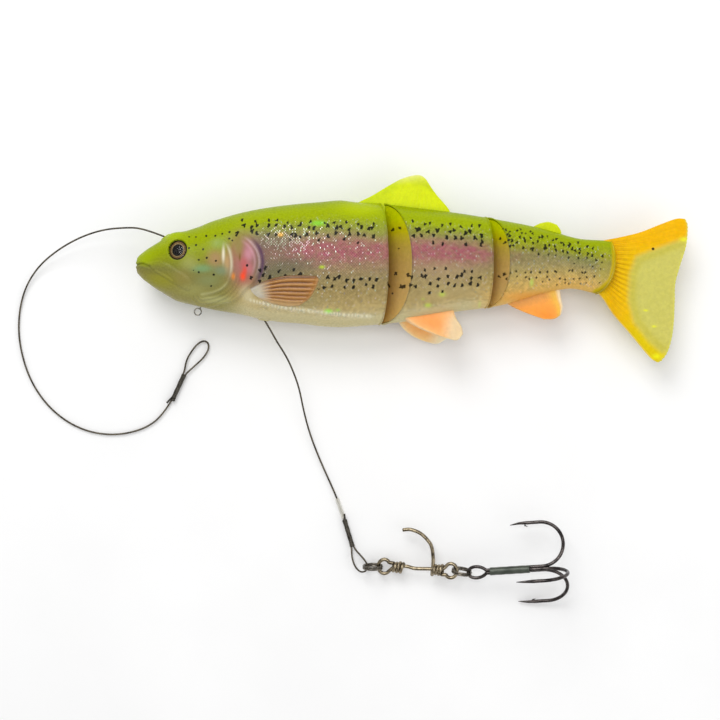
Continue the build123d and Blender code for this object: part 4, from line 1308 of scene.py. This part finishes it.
def coons(root, margin, lead, trail, across, out):
    """A smooth grid of points between a fin's four edges; rows go from root to margin."""
    root, margin = curve_through(root, across), curve_through(margin, across)
    lead, trail = curve_through(lead, out), curve_through(trail, out)
    u = np.linspace(0, 1, across)[None, :, None]
    v = np.linspace(0, 1, out)[:, None, None]

    def between(share, first, last):
        return (1 - share) * first + share * last

    corners = between(v, between(u, root[0], root[-1]), between(u, margin[0], margin[-1]))
    return between(u, lead[:, None], trail[:, None]) + between(v, root[None], margin[None]) - corners


def closed_plate(left, right):
    """A closed shell from two grids of points that face each other."""
    out, across = left.shape[:2]
    verts = np.concatenate([left, right[:, ::-1]], axis=1).reshape(-1, 3)
    columns = 2 * across
    faces = grid_faces(out, columns, True)
    for start in (0, (out - 1) * columns):
        for i in range(across - 1):
            quad = [start + i, start + i + 1, start + columns - 2 - i, start + columns - 1 - i]
            faces.append(quad if start else quad[::-1])
    return verts, faces


def both_sides(values):
    """A plate's values for its left and right grids, in the order of its points."""
    return np.concatenate([values, values[:, ::-1]], axis=1).reshape(-1, *values.shape[2:])


def blend_colours(base, layers):
    """Lays (colour, share) pairs over a base colour, point by point."""
    colour = np.broadcast_to(srgb(*base), (*layers[0][1].shape, 3)).copy()
    for shade, share in layers:
        colour += (np.array(srgb(*shade)) - colour) * np.clip(share, 0, 1)[..., None]
    return np.concatenate([colour, np.ones((*colour.shape[:2], 1))], axis=-1)


def fin_plate(name, grid, colour, material, root, edge, rays, place=None, rayed=0.7):
    """A fin of two ribbed faces; root and edge are its thickness there."""
    out, across = grid.shape[:2]
    u = np.linspace(0, 1, across)[None]
    v = np.linspace(0, 1, out)[:, None]
    half = (root + (edge - root) * v**0.8) / 2
    rim = np.minimum(1 - np.abs(2 * u - 1), (1 - v) * 2)
    half = half * (0.35 + 0.65 * np.sqrt(np.clip(rim / 0.08, 0, 1)))
    rayed = np.broadcast_to(rayed, half.shape)
    ridge = np.cos(TAU * rays * u)
    half = half * (1 + 0.07 * rayed * ridge * smooth(v, 0.05, 0.25))
    scallop = 0.004 * ridge * v**8
    centre = grid * (1 - scallop[..., None]) + grid.mean(axis=(0, 1)) * scallop[..., None]
    left = np.concatenate([centre, half[..., None]], axis=-1)
    right = np.concatenate([centre, -half[..., None]], axis=-1)
    verts, faces = closed_plate(left, right)
    verts = place(verts) if place else verts + (0, 0, MID)
    values = {
        "paint": both_sides(colour),
        "ray": both_sides(np.broadcast_to(u * rays, half.shape)),
        "out": both_sides(np.broadcast_to(v, half.shape)),
        "rayed": both_sides(rayed),
    }
    return add_mesh(name, verts, faces, material, values)


def bend_over(piece, first, second, joint_x, reach):
    """Bakes a piece's placement into its points."""
    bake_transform(piece)


def fin_shares(grid):
    """Share across and share out of every point of a fin's grid."""
    out, across = grid.shape[:2]
    u = np.broadcast_to(np.linspace(0, 1, across)[None], (out, across))
    v = np.broadcast_to(np.linspace(0, 1, out)[:, None], (out, across))
    return u, v


def make_dorsal():
    """The dorsal fin; its low front end lies on the front segment."""
    grid = coons(
        [(-22.5, 22.6), (-12.0, 21.0), (2.0, 19.6), (14.2, 17.6)],
        [(-4.6, 32.6), (-1.0, 33.8), (2.4, 34.2), (4.6, 33.0), (6.0, 30.8)],
        [(-22.5, 22.6), (-18.4, 24.9), (-14.7, 26.7), (-8.2, 30.6), (-4.6, 32.6)],
        [(14.2, 17.6), (13.2, 21.6), (8.8, 26.9), (6.0, 30.8)],
        across=150, out=64,
    )
    u, v = fin_shares(grid)
    pale = smooth(v, 0.72, 1.0) * falling(np.abs(u - 0.35), 0.1, 0.6)
    colour = blend_colours((214, 226, 0), [
        ((186, 204, 0), falling(v, 0.0, 0.3)), ((196, 214, 0), falling(u, 0.05, 0.35) * 0.8),
        ((222, 226, 128), 0.75 * pale), ((186, 200, 20), 0.6 * hill(v, 0.8, 0.1) * smooth(u, 0.3, 0.9)),
        ((226, 228, 150), 0.8 * smooth(v, 0.95, 1.0)),
    ])
    fin = fin_plate("dorsal_fin_skin", grid, colour, DORSAL_SKIN, root=3.0, edge=0.9, rays=24, rayed=0.16)
    bend_over(fin, "front", "mid", FRONT_JOINT_X, 2.4)
    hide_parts("dorsal_fin")


def make_adipose():
    """The small fin on the back of the rear segment."""
    grid = coons(
        [(41.2, 13.4), (46.0, 13.2), (50.0, 12.2), (54.0, 11.0)], [(46.3, 16.7), (49.4, 17.2), (52.4, 16.2)],
        [(41.2, 13.4), (43.4, 15.2), (46.3, 16.7)], [(54.0, 11.0), (53.9, 13.8), (52.4, 16.2)],
        across=60, out=34,
    )
    _, v = fin_shares(grid)
    colour = blend_colours((196, 208, 0), [
        ((206, 218, 20), 0.6 * v), ((222, 226, 140), 0.7 * smooth(v, 0.9, 1.0)),
    ])
    fin = fin_plate("adipose_fin_skin", grid, colour, DORSAL_SKIN, root=2.6, edge=0.8, rays=9, rayed=0.3)
    settle(fin, "rear", "dorsal_skin", "adipose_fin")


def make_anal():
    """The fin under the rear segment."""
    grid = coons(
        [(32.4, -10.6), (39.0, -9.4), (46.0, -7.6), (53.2, -5.6)],
        [(47.6, -18.2), (51.4, -18.1), (53.9, -16.6)],
        [(32.4, -10.6), (35.4, -13.2), (41.0, -15.8), (47.6, -18.2)],
        [(53.2, -5.6), (53.8, -10.0), (54.5, -13.6), (53.9, -16.6)], across=110, out=56,
    )
    u, v = fin_shares(grid)
    colour = blend_colours((252, 168, 76), [
        ((226, 166, 96), 0.8 * falling(v, 0.15, 0.5)), ((244, 200, 84), 0.75 * hill(u, 0.88, 0.12)),
        ((244, 222, 184), 0.95 * smooth(u, 0.88, 0.97)),
        ((254, 146, 52), 0.6 * hill(u, 0.4, 0.3) * smooth(v, 0.4, 0.9)),
        ((238, 190, 130), 0.7 * smooth(v, 0.95, 1.0)),
    ])
    fin = fin_plate("anal_fin_skin", grid, colour, BELLY_FIN_SKIN, root=2.8, edge=0.7, rays=22)
    settle(fin, "rear", "belly_fin_skin", "anal_fin")


PELVIC_OFFSET = 3.4
PELVIC_SPLAY = math.radians(24.0)
PELVIC_ROOT_Y = -16.0


def pelvic_place(side):
    """Turns a flat pelvic fin out from the mid-plane about its root."""
    def place(verts):
        x, y, z = verts.T
        y = y - PELVIC_ROOT_Y
        turn = -side * PELVIC_SPLAY
        return np.stack([
            x, PELVIC_ROOT_Y + y * math.cos(turn) - z * math.sin(turn),
            MID + side * PELVIC_OFFSET + y * math.sin(turn) + z * math.cos(turn),
        ], axis=1)
    return place


def make_pelvics():
    """The pair of fins under the middle segment, splayed to both sides."""
    near = coons(
        [(-4.8, -16.6), (2.0, -15.4), (8.0, -14.0), (14.4, -14.0)],
        [(10.8, -25.7), (15.6, -26.8), (17.9, -24.4)],
        [(-4.8, -16.6), (-0.6, -20.4), (5.4, -23.6), (10.8, -25.7)],
        [(14.4, -14.0), (15.6, -18.2), (17.4, -21.6), (17.9, -24.4)], across=100, out=50,
    )
    far = coons(
        [(-5.4, -16.4), (2.0, -15.4), (8.0, -14.0), (13.4, -14.0)],
        [(5.2, -27.2), (9.4, -28.0), (13.6, -25.4)],
        [(-5.4, -16.4), (-4.2, -20.6), (0.0, -24.8), (5.2, -27.2)],
        [(13.4, -14.0), (14.4, -18.2), (14.8, -22.0), (13.6, -25.4)], across=100, out=50,
    )
    for grid, side, name in ((near, 1, "left"), (far, -1, "right")):
        u, v = fin_shares(grid)
        colour = blend_colours((248, 186, 120), [
            ((254, 160, 84), 0.9 * hill(u, 0.42, 0.3) * hill(v, 0.35, 0.35)),
            ((232, 208, 166), 0.92 * smooth(u + v, 0.95, 1.45)),
            ((236, 204, 158), 0.7 * falling(u, 0.0, 0.12)), ((238, 214, 172), 0.8 * smooth(v, 0.93, 1.0)),
        ])
        # The far fin's colours are lightened: painted light that offsets the shade cast by the near fin.
        if side < 0:
            colour[..., :3] = np.minimum(colour[..., :3] * (1.2, 1.3, 1.45), 1)
        fin = fin_plate(
            f"{name}_pelvic_skin", grid, colour, BELLY_FIN_SKIN, root=2.2, edge=0.7, rays=20,
            place=pelvic_place(side),
        )
        settle(fin, "mid", "belly_fin_skin", f"{name}_pelvic_fin")


TAIL_INNER = [
    (99.8, 11.6), (91.1, 8.4), (80.9, 4.5), (78.5, -1.8), (78.1, -11.3), (80.1, -19.2), (85.6, -26.2),
    (90.3, -30.4), (99.0, -30.0), (104.0, 0.0),
]
COARSE_RAYS = 17  # over the root of the tail fin
# Pale flecks of the tail fin: x, y, half length, half height
TAIL_FLECKS = [
    (98.4, 10.8, 1.5, 0.8), (88.5, -31.6, 1.6, 0.9), (87.6, -20.8, 0.8, 0.4), (84.6, -15.0, 0.9, 0.35),
]


def make_tail():
    """The tail fin, with a pale field inside its yellow rim."""
    grid = coons(
        [(66.4, 9.7), (66.2, 4.0), (66.0, -1.6), (65.8, -7.4)],
        [(98.9, 18.4), (99.9, 15.6), (99.4, 8.8), (97.1, 1.1), (95.4, -5.4), (95.2, -12.0), (94.6, -22.1),
         (92.9, -29.4), (90.4, -33.2), (88.6, -33.9)],
        [(66.4, 9.7), (70.0, 10.6), (75.3, 11.6), (82.6, 13.4), (89.8, 16.2), (95.6, 18.3), (98.9, 18.4)],
        [(65.8, -7.4), (69.0, -10.6), (73.0, -16.6), (78.9, -23.4), (85.9, -31.8), (88.6, -33.9)],
        across=190, out=130,
    )
    u, v = fin_shares(grid)
    x, y = grid[..., 0], grid[..., 1]
    gap = inside_distance(x, y, TAIL_INNER)
    inner = falling(gap, -1.6, 1.4)
    ray = np.cos(TAU * COARSE_RAYS * u)
    root = hill(v, 0.3, 0.13) * hill(u, 0.5, 0.34)
    layers = [
        ((238, 182, 0), 0.9 * smooth(y, 2.0, 12.0)), ((222, 200, 0), 0.9 * falling(y, -26.0, -16.0)),
        ((232, 176, 0), 0.6 * hill(x, 73.0, 4.0)), ((204, 198, 100), inner),
        ((196, 184, 50), 0.5 * inner * hill(gap, -1.6, 1.4)),
        # The pale line along the lower edge, where u nears 1, is a painted highlight on the fin's rim.
        ((222, 222, 96), 0.6 * smooth(v, 0.975, 1.0)), ((250, 216, 120), 0.7 * smooth(u, 0.985, 1.0)),
        ((190, 144, 0), 0.6 * smooth(ray, 0.0, 0.9) * root),
        ((250, 206, 10), 0.5 * falling(ray, -0.9, 0.0) * root),
    ]
    for centre_x, centre_y, half_x, half_y in TAIL_FLECKS:
        away = ((x - centre_x) / half_x) ** 2 + ((y - centre_y) / half_y) ** 2
        layers.append(((240, 240, 30), 0.85 * np.exp(-away)))
    layers.append(((16, 14, 10), falling(np.hypot(x - 87.2, y - 7.3), 0.4, 0.62)))
    colour = blend_colours((232, 190, 0), layers)
    rayed = np.clip(0.18 + 1.1 * hill(v, 0.2, 0.12) * falling(y, 6.0, 13.0), 0, 1) * (1 - 0.9 * inner)
    fin = fin_plate("tail_fin_skin", grid, colour, TAIL_SKIN, root=3.4, edge=1.1, rays=40, rayed=rayed)
    bend_over(fin, "rear", "tail", TAIL_JOINT_X, 1.6)
    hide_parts("tail_fin", "tail_joint_web")


PECTORAL_RISE = 0.9


def make_pectorals():
    """The pectoral fins moulded onto both flanks; the right one is pressed flat where the fish lies."""
    grid = coons(
        [(-58.2, -7.3), (-57.4, -9.0), (-54.6, -11.4)],
        [(-34.6, -3.1), (-33.8, -4.6), (-35.1, -7.9), (-37.3, -11.2), (-40.8, -13.7)],
        [(-58.2, -7.3), (-51.9, -4.5), (-44.5, -3.0), (-34.6, -3.1)],
        [(-54.6, -11.4), (-50.4, -12.9), (-45.4, -13.9), (-40.8, -13.7)], across=120, out=90,
    )
    u, v = fin_shares(grid)
    x, y = grid[..., 0], grid[..., 1]
    rays = 7.5
    edge = np.minimum(np.minimum(u, 1 - u) * 8.0, (1 - v) * 16.0)
    rise = PECTORAL_RISE * np.sqrt(np.clip(edge, 0, 1)) * smooth(v, 0.0, 0.25)
    ridge = np.cos(TAU * rays * u)
    rise = rise * (0.82 + 0.18 * ridge * smooth(v, 0.1, 0.35))
    groove = falling(ridge, -0.95, -0.35) * smooth(v, 0.14, 0.4) * falling(v, 0.8, 0.97)
    colour = blend_colours((166, 112, 52), [
        ((194, 148, 88), 0.7 * smooth(ridge, 0.5, 1.0)), ((72, 42, 16), 0.9 * groove * falling(u, 0.35, 0.8)),
        ((130, 84, 40), 0.5 * groove), ((206, 200, 180), 0.9 * falling(v, 0.08, 0.34)),
        ((200, 166, 112), 0.75 * smooth(u, 0.66, 0.95)), ((190, 144, 90), 0.8 * smooth(v, 0.95, 1.0)),
        ((104, 70, 40), 0.75 * falling(u, 0.0, 0.13)),
    ])
    top = flank_height(x, y)
    for side, name in ((1, "left"), (-1, "right")):
        outer = np.maximum(MID + side * (top + rise), 0.02)
        inner = MID + side * (top - 0.6)
        left = np.stack([x, y, outer], axis=-1)
        right = np.stack([x, y, inner], axis=-1)
        verts, faces = closed_plate(left, right)
        values = {
            "paint": both_sides(colour), "ray": both_sides(u * rays * 3), "out": both_sides(v),
            "rayed": both_sides(np.ones(u.shape)),
        }
        fin = add_mesh(f"{name}_pectoral_skin", verts, faces, PECTORAL_SKIN, values)
        settle(fin, "front", "pectoral_skin", f"{name}_pectoral_fin")


WEB_REACH = 1.5  # into the segments, each way from the joint
WEBS = [("front", FRONT_JOINT_X, ("front", "mid")), ("rear", REAR_JOINT_X, ("mid", "rear"))]


def make_webs():
    """The soft strips between two segments, necked at their middle."""
    skin = plastic_material("web_skin", (150, 140, 46), (172, 160, 70), 0.4, Subsurface_Weight=0.15)
    rows, columns = 13, 64
    angle = np.arange(columns)[None] / columns * TAU
    for joint, joint_x, bodies in WEBS:
        x = np.linspace(joint_x - WEB_REACH, joint_x + WEB_REACH, rows)[:, None]
        middle = (back_at(x) + belly_at(x)) / 2
        reach = (back_at(x) - belly_at(x)) / 2 - 1.3
        half = 0.85 - 0.25 * hill(x, joint_x, 0.6)
        y = middle + reach * np.sin(angle)
        z = MID + half * np.sign(np.cos(angle)) * np.abs(np.cos(angle)) ** 0.3
        verts = np.stack([np.broadcast_to(x, y.shape), y, z], axis=-1).reshape(-1, 3)
        faces = grid_faces(rows, columns, True) + end_caps(rows, columns, flipped=True)
        web = add_mesh(f"{joint}_web_skin", verts, faces, skin)
        bend_over(web, *bodies, joint_x, HALF_GAP)
        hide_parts(f"{joint}_joint_web")


# ---------------------------------------------------------------- eyes and throat wire
def iris_material():
    """Foil iris: black pupil, thin pale ring, gold-brown streaks and a dark rim."""
    g = Graph("eye_iris", Specular_IOR_Level=0.2)
    ring, spin = g.value("ring"), g.value("spin")
    base = g.ramp(ring, [
        (0.0, (6, 5, 5)), (0.60, (6, 5, 5)), (0.63, (190, 164, 108)), (0.66, (200, 176, 120)),
        (0.70, (140, 106, 60)), (0.82, (150, 116, 66)), (0.87, (84, 62, 34)), (0.90, (12, 10, 8)),
    ])
    streak = g.noise(g.combine(g.times(spin, 9.0), g.times(ring, 2.0)), 1.0, 4.0, 0.7)
    shade = g.step(streak, 0.3, 0.7, 0.75, 1.2)
    g.set("Base Color", g.shaded(base, shade))
    g.set("Roughness", g.step(streak, 0.3, 0.7, 0.22, 0.38))
    g.set("Normal", g.bump(streak, 0.04, 0.5))
    return g.material


def glass_material():
    """Clear cast dome with a faint unevenness."""
    g = Graph("eye_dome", Alpha=0.14)
    wave = g.noise(g.place(), 500.0, 2.0)
    g.set("Base Color", g.mix(wave, (0.01, 0.01, 0.01), (0.03, 0.025, 0.02)))
    g.set("Roughness", g.step(wave, 0.3, 0.7, 0.01, 0.03))
    g.set("Normal", g.bump(wave, 0.01, 0.2))
    return g.material


EYE_HALF_X = 3.42
EYE_HALF_Y = 3.7
EYE_HEIGHT = 8.18
EYE_AXIS = np.array([-0.22, 0.30, 1.0])
FOIL_DEPTH = 0.5
FOIL_BULGE = 0.75
FOIL_THICK = 0.6
DOME_COVER = 0.35
PUPIL_DROP = 0.13  # how far the pupil sits below the middle of the iris, as a share of its radius


def make_eyes():
    iris, glass = iris_material(), glass_material()
    spokes, rings = 96, 26
    share = np.linspace(0, 1, rings)[1:, None]
    angle = np.arange(spokes)[None] / spokes * TAU
    for side, name in ((1, "left"), (-1, "right")):
        axis = EYE_AXIS * (1, 1, side) / np.linalg.norm(EYE_AXIS)
        along = np.array([1.0, 0.0, -axis[0] / axis[2]])
        along /= np.linalg.norm(along)
        up = np.cross(axis, along) * side
        seat = np.array([EYE[0], EYE[1], MID + side * EYE_HEIGHT])

        def lens(height, flat):
            """Points of a round face at the given heights over the seat, centre last."""
            ring = seat + (
                along * (EYE_HALF_X * share * np.cos(angle))[..., None]
                + up * (EYE_HALF_Y * share * np.sin(angle))[..., None]
                + axis * np.broadcast_to(height, (rings - 1, spokes))[..., None]
            )
            return np.concatenate([ring.reshape(-1, 3), (seat + axis * flat)[None]])

        def disc(start, upward):
            """Quads of a round face, closed by triangles at its centre."""
            faces = grid_faces(rings - 1, spokes, True, start)
            centre = start + (rings - 1) * spokes
            faces += [[start + j, centre, start + (j + 1) % spokes] for j in range(spokes)]
            return faces if upward else [face[::-1] for face in faces]

        drop = PUPIL_DROP * (1 - share)
        ringed = np.hypot(share * np.cos(angle), share * np.sin(angle) + drop)
        count = (rings - 1) * spokes + 1
        last = (rings - 2) * spokes
        wall = [[last + j, last + (j + 1) % spokes, count + last + (j + 1) % spokes, count + last + j]
                for j in range(spokes)]
        foil_top = -FOIL_DEPTH + FOIL_BULGE * (1 - share**2)
        top = lens(foil_top, -FOIL_DEPTH + FOIL_BULGE)
        back = -FOIL_DEPTH - FOIL_THICK
        under = lens(np.full((rings - 1, 1), back), back)
        values = {
            "ring": np.tile(np.concatenate([ringed.ravel(), [PUPIL_DROP]]), 2),
            "spin": np.tile(np.concatenate([np.tile(np.abs(angle[0] - math.pi), rings - 1), [0.0]]), 2),
        }
        faces = disc(0, True) + disc(count, False) + wall
        foil = add_mesh(f"{name}_eye_iris", np.concatenate([top, under]), faces, iris, values)
        dome_top = foil_top + 0.05 + DOME_COVER * (1 - share**4)
        top = lens(dome_top, -FOIL_DEPTH + FOIL_BULGE + 0.05 + DOME_COVER)
        under = lens(foil_top + 0.03, -FOIL_DEPTH + FOIL_BULGE + 0.03)
        dome = add_mesh(f"{name}_eye_cover", np.concatenate([top, under]), faces, glass)
        settle(foil, "front", "eye_foil", f"{name}_eye_foil")
        settle(dome, "front", "eye_dome", f"{name}_eye_dome")


THROAT_EYE = (-78.0, -15.5, MID)
THROAT_RADIUS = 1.25


def make_throat_wire():
    """The wire eye under the throat: a round ring with its stem twisted into the head."""
    angle = np.linspace(0, TAU, 49)[:-1]
    ring = THROAT_RADIUS * np.stack([np.cos(angle), np.sin(angle), np.zeros(48)], axis=1)
    parts = [tube_mesh(ring + THROAT_EYE, 0.24, 12, closed=True)]
    share = np.linspace(0, 1, 40)[:, None]
    stem = np.array((-77.35, -14.45, MID)) + share * np.array((3.85, 6.45, 0.0))
    for phase in (0.0, math.pi):
        twist = phase + share[:, 0] * TAU * 3
        offset = np.stack([-0.86 * np.cos(twist), 0.51 * np.cos(twist), np.sin(twist)], axis=1) * 0.16
        parts.append(tube_mesh(stem + offset, 0.16, 8))
    verts, faces = join_parts(parts)
    wire = add_mesh("throat_eye_wire", verts, faces, EYE_WIRE)
    settle(wire, "front", "eye_wire", "throat_eye")


make_dorsal()
make_adipose()
make_anal()
make_pelvics()
make_tail()
make_pectorals()
make_webs()
make_eyes()
make_throat_wire()
